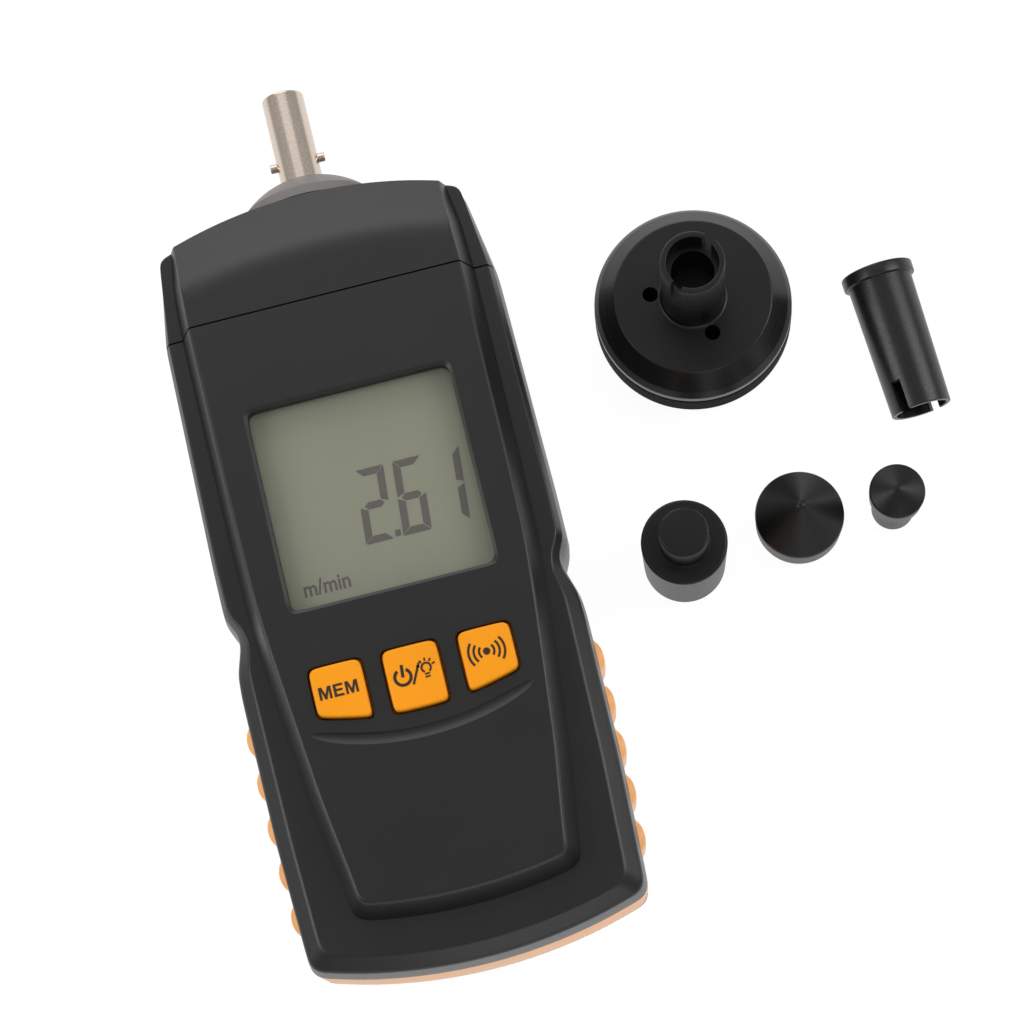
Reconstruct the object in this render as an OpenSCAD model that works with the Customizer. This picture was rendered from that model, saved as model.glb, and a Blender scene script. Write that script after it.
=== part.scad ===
// Contact tachometer: a handheld meter with a bearing-mounted spindle, a segment display,
// three keys, a battery bay at the back and five contact adapters that stand beside it.
// The origin is the centre of the rear face. +X runs across the meter, +Y towards the
// spindle and +Z out of the display. The meter lies on its back on the plane z = 0.

/* [Housing] */
// Width of the housing at the top edge of its side walls
body_w = 53.4; // [52:0.1:56]
// Distance from the origin to the middle of the nose end
nose_y = 61.4; // [60.5:0.1:62]
// Distance from the origin to the middle of the tail end
tail_y = 60.4; // [60:0.1:64]
// Width of the nose end between its corners
nose_w = 48.4; // [46:0.1:50]
// How far the nose end bulges between its corners
nose_sag = 4.4; // [3:0.1:6]
// Width of the tail end between its corners
tail_w = 51.2; // [49:0.1:52]
// How far the tail end bulges between its corners
tail_sag = 4.1; // [3:0.1:6]
// Height of the display plateau above the shoulder beside it
plateau_h = 5.5; // [5.2:0.1:7]
// Height of the joint between the front and rear halves
parting_z = 14; // [13:0.1:14.2]
// Wall of the front half and the nose cap
wall_t = 2.2; // [1.8:0.1:2.4]
// Thickness of the roofs over the plateau and the shoulder
roof_t = 2.2; // [2:0.1:2.4]
// Thickness of the rear face
floor_t = 2.2; // [2.2:0.1:2.8]
// How far the side walls stand out at the joint between the halves
flare = 0.6; // [0.2:0.1:0.9]
// Width of the soft bevel along the shoulder's edge
edge_run = 2.4; // [1:0.1:2.8]
// Height of the soft bevel along the shoulder's edge
edge_drop = 1.8; // [1:0.1:2.4]
// Width of the plateau's sloping sides
plateau_run = 1.9; // [1.2:0.1:2.2]
// Distance from the origin to the seam between the nose cap and the front shell
seam_y = 43.2; // [42:0.1:44]
// Width of the seam
seam_gap = 0.25; // [0.1:0.05:0.4]
// Distance from the origin to the line where the nose starts to slope down
slope_y = 52; // [50:0.1:54]
// Radius of that line, seen from above
slope_r = 95; // [80:1:110]
// Length of the slope at the nose
slope_run = 9.5; // [9:0.1:11]
// Drop of the slope over its length
slope_drop = 4; // [3:0.1:4.2]
// Depth of the finger notches in the nose cap's sides
notch_d = 0.6; // [0.3:0.1:0.9]
// Length of the finger notches in the nose cap's sides
notch_l = 6; // [4:0.5:8]

/* [Grip] */
// Lower edge of the rubber grip band
grip_z0 = 8; // [7.5:0.1:9]
// Upper edge of the rubber grip band
grip_z1 = 20; // [18:0.1:21]
// Distance from the origin to the upper ends of the grip band
grip_y = -12.3; // [-14:0.1:-11]
// Depth of the grip band's groove below the housing's edge line
grip_d = 1.2; // [0.8:0.1:1.3]
// How far the band lies below the side wall
grip_sink = 0.05; // [0:0.05:0.2]
// Ribs along each side of the band
rib_count = 5; // [3:1:5]
// Pitch of the ribs
rib_pitch = 7.05; // [6:0.05:7.4]
// Length of each rib along the band
rib_l = 4.8; // [3:0.1:5.4]
// How far the ribs stand out of the band
rib_h = 1; // [0.6:0.05:1.1]

/* [Display] */
// Width of the display window
window_w = 31.75; // [30:0.05:32.5]
// Length of the display window
window_l = 32; // [30:0.1:32.5]
// Distance from the origin to the middle of the window
window_y = 11.9; // [11.6:0.1:12.2]
// How far the window's face lies below the plateau
window_sink = 0.7; // [0.4:0.1:1]
// Width of the rim behind the window's opening
window_rim = 1.3; // [0.8:0.1:1.5]
// Thickness of the window's rim
window_rim_t = 1.2; // [0.8:0.1:1.3]
// Thickness of the display glass
glass_t = 2.2; // [1.8:0.1:2.3]
// How far the display glass reaches past the window
glass_over = 2; // [1.5:0.1:2.1]
// Wall of the display frame
frame_wall = 1; // [0.7:0.1:1.1]

/* [Keys] */
// Width of the two outer keys
key_w = 8; // [7:0.1:8.4]
// Width of the middle key
mid_key_w = 8.4; // [7.4:0.1:8.8]
// Gap between neighbouring keys
key_gap = 3.2; // [2.9:0.1:3.6]
// Distance from the origin to the keys' upper edges
key_top_y = -13.45; // [-14:0.05:-13]
// Distance from the origin to the lowest point of the keys' lower arc
key_low_y = -23.05; // [-24:0.05:-22]
// Rise of that arc at the outer keys' far corners
key_sag = 2.3; // [1.5:0.1:2.8]
// How far the keys stand above the plateau
key_proud = 0.9; // [0.8:0.1:1.2]
// Travel of the keys
key_travel = 0.8; // [0.4:0.1:0.8]
// Rounding of the keys' corners
key_soft = 1.3; // [0.6:0.1:1.6]
// Bevel round the keys' faces
key_bevel = 0.4; // [0.2:0.05:0.6]

/* [Spindle] */
// Height of the spindle's axis
spindle_z = 16.5; // [16.2:0.1:17.5]
// Distance from the origin to the spindle's tip
tip_y = 82.6; // [79:0.1:86]
// Radius of the spindle's nose, which the adapters fit
spindle_r = 3.4; // [3.3:0.05:3.45]
// Radius of the spindle's journals
journal_r = 3; // [2.8:0.05:3.1]
// Distance from the origin to the front of the domed collar
collar_y = 67.8; // [67.4:0.1:69]
// Radius of the collar where it meets the nose
collar_r = 10.4; // [10:0.1:11]
// Radius of the collar's dome
dome_r = 14.6; // [14:0.1:20]
// Radius of the bearing sleeve behind the collar
sleeve_r = 8.2; // [7.8:0.1:8.4]
// Distance from the origin to the rear end of the sleeve
sleeve_y = 37.5; // [37.3:0.1:39]
// Outer radius of both bearings
bearing_r = 6.5; // [6:0.1:6.6]
// Width of both bearings
bearing_w = 5; // [4:0.1:5]
// Distance from the origin to the cross pin
pin_y = 71.1; // [70.6:0.1:72]
// Radius of the cross pin
pin_r = 0.75; // [0.6:0.05:0.8]
// Length of the cross pin
pin_l = 9; // [8.6:0.1:9.4]
// Thickness of the encoder disc
disc_t = 0.8; // [0.6:0.1:1]
// Slots round the encoder disc
disc_slots = 24; // [12:1:30]
// Distance from the origin to the middle of the encoder disc
disc_y = 33.6; // [33.4:0.1:33.8]

/* [Circuit board] */
// Width of the circuit board
board_w = 45; // [44:0.1:45.4]
// Lower end of the circuit board
board_y0 = -40.5; // [-42:0.1:-38]
// Upper end of the circuit board
board_y1 = 30.5; // [30:0.1:31]
// Thickness of the boards
board_t = 1.6; // [1:0.1:1.8]
// Gap between the main board and the shoulder's roof, the height of its pads
board_pad = 0.4; // [0.3:0.1:1]
// Width of the sensor board
sensor_w = 18; // [14:0.5:20]
// Length of the sensor board
sensor_l = 16; // [14:0.5:18]

/* [Battery bay] */
// Radius of a cell
cell_r = 5.25; // [5:0.05:5.3]
// Length of a cell with its button
cell_l = 44.5; // [42:0.1:44.6]
// Distance between neighbouring cells
cell_pitch = 11.2; // [11:0.1:11.5]
// Distance from the origin to the upper end of the bay
bay_y1 = -8; // [-8.4:0.1:-7.6]
// Length of the bay
bay_l = 47.4; // [47:0.1:47.6]
// Thickness of the walls round the bay
bay_wall = 1.2; // [0.8:0.1:1.4]
// Thickness of the door's face below its tongues
door_face_t = 1.15; // [0.9:0.05:1.2]
// Thickness of the door's tongues
tongue_t = 1.1; // [0.8:0.05:1.1]
// Width of the door's tongues
tongue_w = 1.2; // [0.8:0.1:1.3]

/* [Screws] */
// Radius of the case screws
screw_r = 1.25; // [1:0.05:1.4]
// Radius of their heads
screw_head_r = 2; // [1.8:0.05:2.05]
// Height of their heads
screw_head_t = 1.5; // [1:0.1:1.6]
// Depth of the heads' recesses in the rear face
screw_sink = 0.9; // [0.6:0.1:1]
// Radius of the bosses round the case screws
boss_r = 3; // [2.8:0.1:3.1]
// Sideways place of the nose cap's screws
nose_screw_x = 18.5; // [18:0.1:19]
// Lengthways place of the nose cap's screws
nose_screw_y = 50.5; // [49:0.1:51]
// Sideways place of the front shell's screws
mid_screw_x = 20.8; // [20.7:0.05:20.9]
// Lengthways place of the front shell's screws
mid_screw_y = -10; // [-11:0.1:-9.8]

/* [Surface speed wheel] */
// Sideways place of the wheel beside the meter
wheel_x = 56.15; // [54:0.05:60]
// Lengthways place of the wheel
wheel_y = 34.7; // [30:0.1:40]
// Radius of the tyre: its circumference is a tenth of a metre
tyre_r = 15.915; // [15:0.005:17]
// Thickness of the tyre
tyre_t = 2.1; // [1.5:0.1:3]
// Width of the tyre's tread
tyre_w = 5; // [4:0.1:6]
// Thickness of the rim below the tyre
wheel_lip_t = 0.9; // [0.6:0.1:1.2]
// Height of the upper flange's edge
wheel_edge_z = 8.9; // [8.5:0.1:9.5]
// Height of the wheel's raised middle
wheel_face_z = 11.9; // [11:0.1:12.5]
// Radius of the wheel's raised middle
wheel_face_r = 12.6; // [11:0.1:13.5]
// Height of the hub's mouth
hub_z = 29.5; // [28:0.1:32]
// Radius of the hub
hub_r = 5.05; // [5:0.05:5.4]
// Radius of the small holes round the hub
wheel_hole_r = 1.25; // [0.8:0.05:1.3]
// Radius of the circle that the small holes lie on
wheel_hole_ring = 6.8; // [6.7:0.1:8]
// Depth of the small holes
wheel_hole_d = 8; // [4:0.5:9]
// Turn of the hub's slots about the wheel's axis
wheel_turn = 43; // [0:1:180]

/* [Adapter sockets] */
// Depth of the wide, slotted mouth of the adapters' bores
mouth_d = 5; // [4.4:0.1:6]
// Radius of the wide mouth
mouth_r = 4.1; // [3.9:0.05:4.2]
// Width of the slots that take the cross pin
slot_w = 1.7; // [1.65:0.05:2]
// Depth of the spindle's bore behind the mouth
bore_d = 8.4; // [7.5:0.1:8.6]

/* [Extension tube] */
// Sideways place of the middle of the tube
tube_x = 86.7; // [84:0.1:92]
// Lengthways place of the middle of the tube
tube_y = 21.15; // [18:0.05:26]
// Turn of the tube on the table
tube_turn = 2.6; // [-10:0.1:10]
// Radius of the tube at its slotted end
tube_r = 4.85; // [4.8:0.05:5.1]
// Radius of the tube beside its flange
tube_root_r = 5.25; // [5.1:0.05:5.4]
// Turn of the tube's slots about its axis
tube_slot_turn = 130; // [0:1:180]
// Length of the tube
tube_l = 23.9; // [23:0.1:28]
// Radius of the tube's flange
tube_flange_r = 5.85; // [5.6:0.05:6.4]
// Thickness of the tube's flange
tube_flange_t = 2; // [1.5:0.1:2.5]
// Depth of the socket for a tip, at the flange
socket_d = 6.6; // [6:0.1:8]
// Radius of the socket for a tip
socket_r = 3.94; // [3.92:0.01:4.1]

/* [Contact tips] */
// Sideways place of the funnel tip
funnel_x = 44.65; // [42:0.05:48]
// Lengthways place of the funnel tip
funnel_y = -4.6; // [-10:0.1:0]
// Radius of the funnel tip at its top
funnel_r = 6.77; // [6:0.01:7.5]
// Radius of the funnel tip at its foot
funnel_foot_r = 6.5; // [6:0.01:7.5]
// Height of the funnel tip's body
funnel_h = 15.4; // [12:0.1:17]
// Radius of the funnel at the tip's foot
funnel_mouth_r = 5.2; // [4:0.1:5.4]
// Depth of the funnel
funnel_d = 5; // [3:0.1:7]
// Radius of the tips' stubs, which fit the tube's socket
stub_r = 3.9; // [3.7:0.05:3.95]
// Length of the funnel tip's stub
funnel_stub_l = 6.8; // [5:0.1:8]
// Sideways place of the large cone tip
cone_x = 63.5; // [60:0.1:67]
// Lengthways place of the large cone tip
cone_y = -3.8; // [-9:0.1:0]
// Radius of the large cone tip
cone_r = 7; // [6.5:0.1:7.5]
// Length of the large cone tip's stub
cone_stub_l = 5; // [4:0.1:6]
// Height of the large cone's rim
cone_rim_z = 10.5; // [9:0.1:12]
// Height of the large cone's point
cone_top_z = 17.5; // [16:0.1:20]
// Sideways place of the small cone tip
point_x = 79; // [76:0.1:84]
// Lengthways place of the small cone tip
point_y = -4.4; // [-9:0.1:0]
// Radius of the small cone tip's head
point_r = 4.4; // [4:0.05:4.8]
// Radius of the small cone tip's stem, which fits the spindle's bore
stem_r = 3.38; // [3:0.01:3.4]
// Height of the head's lower edge
stem_l = 8.6; // [7:0.1:9]
// Height of the small cone's rim
point_rim_z = 12.6; // [11:0.1:14]
// Height of the small cone's point
point_top_z = 14.6; // [14.2:0.1:17]

/* [Clearances] */
// Clearance round the keys and the battery door
move_gap = 0.3; // [0.2:0.05:0.35]
// Clearance of the door's tongues in their grooves
door_gap = 0.15; // [0.1:0.05:0.2]
// Radial running clearance of the journals
run_gap = 0.05; // [0.02:0.01:0.08]
// Clearance between pieces that are fastened to each other
fit_gap = 0.05; // [0.02:0.01:0.1]
// Radial clearance of the adapters' bores on the spindle
slide_gap = 0.03; // [0.01:0.01:0.05]

/* [Hidden] */
$fn = 96;

// One length by which cuts run past the faces that they open
over = 2;
// The spindle's housing fits below the shoulder, which sets the thickness of the meter
sleeve_gap = 0.1;
shoulder_z = spindle_z + sleeve_r + sleeve_gap + roof_t;
body_t = shoulder_z + plateau_h;
body_l = nose_y + tail_y;
body_half = body_w / 2;
nose_half = nose_w / 2;
tail_half = tail_w / 2;
reach = 2 * body_l;

// Places along the arcs at the nose and the tail, as shares of their half widths
arc_shares = [0, 0.25, 0.5, 0.72];
// Side of the housing from the tail up: share of the half width, share of the length,
// share of the corner softening, share of the shoulder's bevel
side_shares = [
    [0.992, 0.2, 0.8, 1], [1, 0.385, 0.6, 0.9], [0.992, 0.414, 0.3, 0.8], [0.944, 0.448, 0.3, 0.6],
    [0.944, 0.464, 0.3, 0.4], [0.998, 0.488, 0.3, 0.35], [1, 0.56, 0.8, 0.3], [0.985, 0.8506, 0.5, 0.3]
];
// Side of the plateau from the tail up: share of the half width, share of the length,
// share of the corner softening
plateau_shares = [
    [0.678, 0.1264, 0.3], [0.745, 0.225, 0.8], [0.8015, 0.3432, 0.8], [0.835, 0.4179, 0.5],
    [0.86, 0.4877, 0.8], [0.869, 0.5944, 1], [0.876, 0.8506, 0.6], [0.865, 0.9146, 0.3]
];
plateau_tail_share = 0.064;
plateau_tail_corner_share = 0.652;
plateau_nose_corner_share = 0.82;
plateau_tail_sag = 1.9;
// Most of an edge that the softening at one of its ends takes up
soft_share = 0.45;
// Longest softening of a housing corner, and that of the plateau's corners
body_soft = 3.2;
plateau_soft = 3;
nose_soft = 1.4;
// Heights of the side wall's rings
rear_edge_z = 0.8;
rear_bend_z = 3;
rear_inset = 3.2;
rear_edge_inset = 2;
rear_bend_inset = 0.7;
// Share of the flare at the edges of the grip band
flare_low_share = 0.65;
flare_high_share = 0.85;
rear_wall_inset = 3.4;
// Wall of the plateau's sloping sides under their upper edge
plateau_side_t = 1.5;
plateau_wall = plateau_run + plateau_side_t;
roof_z = body_t - roof_t;
shoulder_roof_z = shoulder_z - roof_t;

function at(share) = share * body_l - tail_y;
function rise(x, half_w, sag) = sag * pow(x / half_w, 2);
function turned(v) = [v.y, -v.x];
function unit(v) = v / norm(v);
function around(list, i) = list[(i + len(list)) % len(list)];
// A closed outline from its right half, listed from the tail up
function closed(half) = concat(half, [for (i = [len(half) - 2 : -1 : 1]) let (p = half[i])
    concat([-p[0]], [for (k = [1 : len(p) - 1]) p[k]])]);
function flat_point(p) = [p[0], p[1]];
// Moves each point of an outline inwards, along the mean of its two edges' normals
function inset(rows, d) = [for (i = [0 : len(rows) - 1])
    let (a = flat_point(around(rows, i - 1)), b = flat_point(rows[i]), c = flat_point(around(rows, i + 1)),
         n = turned(unit(b - a)), m = turned(unit(c - b)), by = is_list(d) ? d[i] : d)
    b - (n + m) * by / (1 + n * m)];
// Softens the corners of an outline: each corner's third value is how far back its curve starts,
// which is at most a share of the shorter edge beside it
function softened(points, rows, steps = 3) = [for (i = [0 : len(points) - 1])
    let (b = points[i], p = around(points, i - 1) - b, q = around(points, i + 1) - b,
         back = min(rows[i][2], soft_share * norm(p), soft_share * norm(q)),
         a = b + unit(p) * back, c = b + unit(q) * back)
    each rows[i][2] == 0 ? [b] : [for (k = [0 : steps]) let (s = k / steps)
        a * pow(1 - s, 2) + b * 2 * s * (1 - s) + c * pow(s, 2)]];
function outline(rows, d) = softened(inset(rows, d), rows);
function ring(rows, d, z) = [for (p = outline(rows, d)) [p.x, p.y, z]];

body_rows = closed(concat(
    [for (s = arc_shares) [s * tail_half, rise(s * tail_half, tail_half, tail_sag) - tail_y, 0, 1]],
    [[tail_half, tail_sag - tail_y, body_soft * 0.8, 1]],
    [for (s = side_shares) [s[0] * body_half, at(s[1]), s[2] * body_soft, s[3]]],
    [[nose_half, nose_y - nose_sag, nose_soft, 0]],
    [for (i = [len(arc_shares) - 1 : -1 : 0]) let (x = arc_shares[i] * nose_half)
        [x, nose_y - rise(x, nose_half, nose_sag), 0, 0]]
));
plateau_tail_half = plateau_tail_corner_share * body_half;
plateau_nose_half = plateau_nose_corner_share * body_half;
// The plateau's nose lies just inside the housing's, so that the two faces don't coincide
plateau_nose_back = 0.15;
// Each row ends with the share of the sloping side's width, which is nothing at the upright nose
plateau_rows = closed(concat(
    [for (s = arc_shares) let (x = s * plateau_tail_half)
        [x, at(plateau_tail_share) + rise(x, plateau_tail_half, plateau_tail_sag), 0, 1]],
    [[plateau_tail_half, at(plateau_tail_share) + plateau_tail_sag, plateau_soft, 1]],
    [for (s = plateau_shares) [s[0] * body_half, at(s[1]), s[2] * plateau_soft, 1]],
    [for (i = [len(arc_shares) : -1 : 0])
        let (inner = i < len(arc_shares), x = (inner ? arc_shares[i] : 1) * plateau_nose_half)
        [x, nose_y - plateau_nose_back - rise(x, nose_half, nose_sag), inner ? 0 : nose_soft, inner ? 0 : 0.5]]
));
bevel_distances = [for (r = body_rows) r[3] * edge_run];
plateau_distances = [for (r = plateau_rows) r[3] * plateau_run];

// A closed solid through rings of equally many points, from the lowest ring up
module loft(rings) {
    n = len(rings[0]);
    last = len(rings) - 1;
    polyhedron(
        points = [for (r = rings) each r],
        faces = concat(
            [[for (i = [0 : n - 1]) i]],
            [for (k = [0 : last - 1], i = [0 : n - 1]) each [
                [k * n + i, (k + 1) * n + i, k * n + (i + 1) % n],
                [k * n + (i + 1) % n, (k + 1) * n + i, (k + 1) * n + (i + 1) % n]]],
            [[for (i = [n - 1 : -1 : 0]) last * n + i]]
        ),
        convexity = 6
    );
}

// An upright prism over an outline
module prism(rows, d, z0, z1) {
    translate([0, 0, z0]) linear_extrude(z1 - z0) polygon(outline(rows, d));
}

// A box between two corners
module span(low, high) {
    translate(low) cube(high - low);
}

// Points (radius, place along Y) turned about the spindle's axis
module turned_about_spindle(points) {
    translate([0, 0, spindle_z]) rotate([-90, 0, 0]) rotate_extrude() polygon(points);
}

// A cylinder along the spindle's axis
module spindle_cylinder(r, y0, y1) {
    translate([0, y0, spindle_z]) rotate([-90, 0, 0]) cylinder(r = r, h = y1 - y0);
}

// Both sides of the meter
module both_sides() {
    for (s = [-1, 1]) scale([s, 1, 1]) children();
}

// Housing
flare_low = flare * flare_low_share;
flare_high = flare * flare_high_share;
// Where a wall that leans from inset d0 to inset d1 over the height h gets to past its end
function past(d0, d1, h) = d1 + (d1 - d0) * over / h;
// The lofts run past their flat ends, which trimmed() then cuts
upper_rings = [
    ring(body_rows, past(-flare_high, -flare, grip_z1 - parting_z), parting_z - over),
    ring(body_rows, -flare_high, grip_z1),
    ring(body_rows, 0, shoulder_z - edge_drop),
    ring(body_rows, [for (d = bevel_distances) past(0, d, edge_drop)], shoulder_z + over)
];
plateau_rings = [
    ring(plateau_rows, 0, shoulder_z - roof_t),
    ring(plateau_rows, 0, shoulder_z),
    ring(plateau_rows, [for (d = plateau_distances) past(0, d, body_t - shoulder_z)], body_t + over)
];
lower_rings = [
    ring(body_rows, past(rear_edge_inset, rear_inset, rear_edge_z), -over),
    ring(body_rows, rear_edge_inset, rear_edge_z),
    ring(body_rows, rear_bend_inset, rear_bend_z),
    ring(body_rows, -flare_low, grip_z0),
    ring(body_rows, past(-flare_low, -flare, parting_z - grip_z0), parting_z + over)
];
grip_rings = [
    ring(body_rows, past(-flare, -flare_low, parting_z - grip_z0) + grip_sink, grip_z0 - over),
    ring(body_rows, grip_sink - flare, parting_z),
    ring(body_rows, past(-flare, -flare_high, grip_z1 - parting_z) + grip_sink, grip_z1 + over)
];

// Cuts a form off flat between two heights
module trimmed(z0, z1) {
    intersection() {
        children();
        span([-reach, -reach, z0], [reach, reach, z1]);
    }
}
slope_pitch = slope_run / slope_drop;
slope_h = body_t - parting_z;

// A wide cone whose side is the slope at the nose
module slope_cone(drop) {
    translate([0, slope_y - slope_r, body_t - drop - slope_h])
        cylinder(h = slope_h + over, r1 = slope_r + slope_h * slope_pitch,
                 r2 = slope_r - over * slope_pitch, $fn = 240);
}

// The upper half of the housing, solid
module upper_form() {
    trimmed(parting_z, shoulder_z) loft(upper_rings);
    trimmed(shoulder_z - roof_t, body_t) intersection() {
        loft(plateau_rings);
        slope_cone(0);
    }
}

// The space inside the upper half
module upper_hollow() {
    prism(body_rows, wall_t, parting_z - over, shoulder_roof_z);
    intersection() {
        prism(plateau_rows, plateau_wall, parting_z - over, roof_z);
        slope_cone(roof_t);
    }
}

// The groove that holds the grip band
module grip_groove() {
    difference() {
        span([-reach, -reach, grip_z0], [reach, grip_y, grip_z1]);
        prism(body_rows, grip_d + fit_gap, grip_z0 - over, grip_z1 + over);
    }
}

window_rows = let (w = window_w / 2, l = window_l / 2, soft = 1.6)
    [[-w, window_y - l, soft], [w, window_y - l, soft], [w, window_y + l, soft], [-w, window_y + l, soft]];

// The lower edge of the keys, and the groove below them, follow arcs
key_half = mid_key_w / 2 + key_gap + key_w;
function key_edge(x) = key_low_y + rise(x, key_half, key_sag);
function key_rows(x0, x1) = [
    [x0, key_edge(x0), key_soft], [(x0 + x1) / 2, key_edge((x0 + x1) / 2), 0], [x1, key_edge(x1), key_soft],
    [x1, key_top_y, key_soft], [x0, key_top_y, key_soft]];
memory_rows = key_rows(-key_half, -key_half + key_w);
power_rows = key_rows(-mid_key_w / 2, mid_key_w / 2);
signal_rows = key_rows(key_half - key_w, key_half);
groove_half = 16.8;
groove_sag = 3.4;
groove_drop = 3.3;
groove_w = 1.2;
groove_depth = 0.4;
groove_steps = 12;
groove_points = concat(
    [for (i = [-groove_steps : groove_steps]) let (x = groove_half * i / groove_steps)
        [x, key_low_y - groove_drop - groove_w / 2 + rise(x, groove_half, groove_sag + groove_w / 2)]],
    [for (i = [groove_steps - 1 : -1 : 1 - groove_steps]) let (x = groove_half * i / groove_steps)
        [x, key_low_y - groove_drop + groove_w / 2 + rise(x, groove_half, groove_sag - groove_w / 2)]]
);

// Places of the screws
case_screw_places = [
    [nose_screw_x, nose_screw_y], [-nose_screw_x, nose_screw_y],
    [mid_screw_x, mid_screw_y], [-mid_screw_x, mid_screw_y]];
board_screw_inset = 1.7;
board_screw_rows = [board_y0 + 2 * board_screw_inset, board_y1 - 2 * board_screw_inset];
board_screw_places = [for (y = board_screw_rows, s = [-1, 1]) [s * (board_w / 2 - board_screw_inset), y]];
board_screw_r = 0.85;
board_head_r = 1.5;
board_head_t = 1.1;
pad_r = 1.6;
pilot_gap = fit_gap;
pilot_depth = 1.4;

module front_shell() {
    color([0.17, 0.17, 0.17]) difference() {
        union() {
            difference() {
                upper_form();
                upper_hollow();
            }
            for (p = [case_screw_places[2], case_screw_places[3]]) translate([p.x, p.y, parting_z])
                cylinder(r = boss_r, h = shoulder_roof_z - parting_z + fit_gap);
            for (p = board_screw_places) translate([p.x, p.y, shoulder_roof_z - board_pad])
                cylinder(r = pad_r, h = board_pad + fit_gap);
        }
        span([-reach, seam_y - seam_gap / 2, -reach], [reach, reach, reach]);
        grip_groove();
        prism(window_rows, 0, roof_z - over, body_t + over);
        for (rows = [memory_rows, power_rows, signal_rows])
            prism(rows, -move_gap, roof_z - over, body_t + over);
        translate([0, 0, body_t - groove_depth]) linear_extrude(groove_depth + over) polygon(groove_points);
        for (p = [case_screw_places[2], case_screw_places[3]]) translate([p.x, p.y, parting_z - over])
            cylinder(r = screw_r + pilot_gap, h = shoulder_roof_z - parting_z + over);
        for (p = board_screw_places) translate([p.x, p.y, shoulder_roof_z - board_pad - over])
            cylinder(r = board_screw_r + pilot_gap, h = board_pad + over + pilot_depth);
    }
}

// Finger notches in the sides of the nose cap
notch_y = (seam_y + nose_y - nose_sag) / 2 + notch_l / 4;
notch_r = (pow(notch_l / 2, 2) + pow(notch_d, 2)) / (2 * notch_d);
nose_side_x = (side_shares[7][0] * body_half + nose_half) / 2;
saddle_t = 2;
saddle_half = sleeve_r + 3;
nose_saddle_y = nose_screw_y - saddle_t / 2;
rear_saddle_y = sleeve_y + bearing_w + saddle_t;

module nose_cap() {
    color([0.18, 0.18, 0.18]) difference() {
        union() {
            difference() {
                upper_form();
                upper_hollow();
            }
            span([-saddle_half, nose_saddle_y, spindle_z],
                 [saddle_half, nose_saddle_y + saddle_t, roof_z + fit_gap]);
            for (p = [case_screw_places[0], case_screw_places[1]]) translate([p.x, p.y, parting_z])
                cylinder(r = boss_r, h = roof_z - parting_z + fit_gap);
        }
        span([-reach, -reach, -reach], [reach, seam_y + seam_gap / 2, reach]);
        spindle_cylinder(sleeve_r + fit_gap, seam_y, nose_y + over);
        for (p = [case_screw_places[0], case_screw_places[1]]) translate([p.x, p.y, parting_z - over])
            cylinder(r = screw_r + pilot_gap, h = shoulder_roof_z - parting_z + over);
        both_sides() translate([nose_side_x + notch_r - notch_d, notch_y, parting_z - over])
            cylinder(r = notch_r, h = shoulder_z);
    }
}

// Battery bay
cell_side_gap = 0.55;
bay_half = cell_pitch + cell_r + cell_side_gap;
bay_y0 = bay_y1 - bay_l;
groove_top_z = door_face_t + tongue_t + door_gap;
cell_z = groove_top_z + move_gap / 2 + cell_r;
bay_roof_z = cell_z + cell_r + move_gap;
door_lap = 0.2;
door_half = bay_half + door_lap - move_gap;
tongue_half = door_half + tongue_w;
rib_t = 1;
rib_drop = 3;
sensor_z = floor_t + 1;
sensor_back = 8.6;
sensor_y0 = disc_y - sensor_back;
sensor_post_r = 1.8;
sensor_hole_inset = 2.2;
sensor_places = [for (s = [-1, 1])
    [s * (sensor_w / 2 - sensor_hole_inset), sensor_y0 + sensor_l - sensor_hole_inset]];
sensor_screw_r = 0.8;
rear_screw_boss_z = screw_sink + screw_head_t + fit_gap;

module back_shell() {
    color([0.15, 0.15, 0.15]) difference() {
        union() {
            difference() {
                trimmed(0, parting_z) loft(lower_rings);
                prism(body_rows, rear_wall_inset, floor_t, parting_z + over);
            }
            intersection() {
                span([-tongue_half - bay_wall, bay_y0 - bay_wall - over, floor_t - fit_gap],
                     [tongue_half + bay_wall, bay_y1 + bay_wall, bay_roof_z + bay_wall]);
                prism(body_rows, wall_t + fit_gap, 0, bay_roof_z + over);
            }
            for (p = case_screw_places) translate([p.x, p.y, floor_t - fit_gap])
                cylinder(r = boss_r, h = parting_z - floor_t);
            for (p = sensor_places) translate([p.x, p.y, floor_t - fit_gap])
                cylinder(r = sensor_post_r, h = sensor_z - floor_t + fit_gap);
            span([-saddle_half, rear_saddle_y, floor_t - fit_gap],
                 [saddle_half, rear_saddle_y + saddle_t, parting_z]);
        }
        difference() {
            span([-bay_half, bay_y0, -over], [bay_half, bay_y1, bay_roof_z]);
            for (s = [-1, 1]) span([(s * cell_pitch - rib_t) / 2, bay_y0, bay_roof_z - rib_drop],
                                   [(s * cell_pitch + rib_t) / 2, bay_y1, bay_roof_z + over]);
        }
        span([-door_half - move_gap, -reach, -over],
             [door_half + move_gap, bay_y1 + move_gap, door_face_t]);
        span([-tongue_half - door_gap, -reach, door_face_t - door_gap],
             [tongue_half + door_gap, bay_y1 + move_gap, groove_top_z]);
        grip_groove();
        spindle_cylinder(sleeve_r + fit_gap, rear_saddle_y - over, nose_y + over);
        for (p = case_screw_places) translate([p.x, p.y, -over]) {
            cylinder(r = screw_head_r + move_gap, h = over + rear_screw_boss_z);
            cylinder(r = screw_r + move_gap, h = over + parting_z + over);
        }
        for (p = sensor_places) translate([p.x, p.y, floor_t])
            cylinder(r = sensor_screw_r + pilot_gap, h = sensor_z);
    }
}

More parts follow.
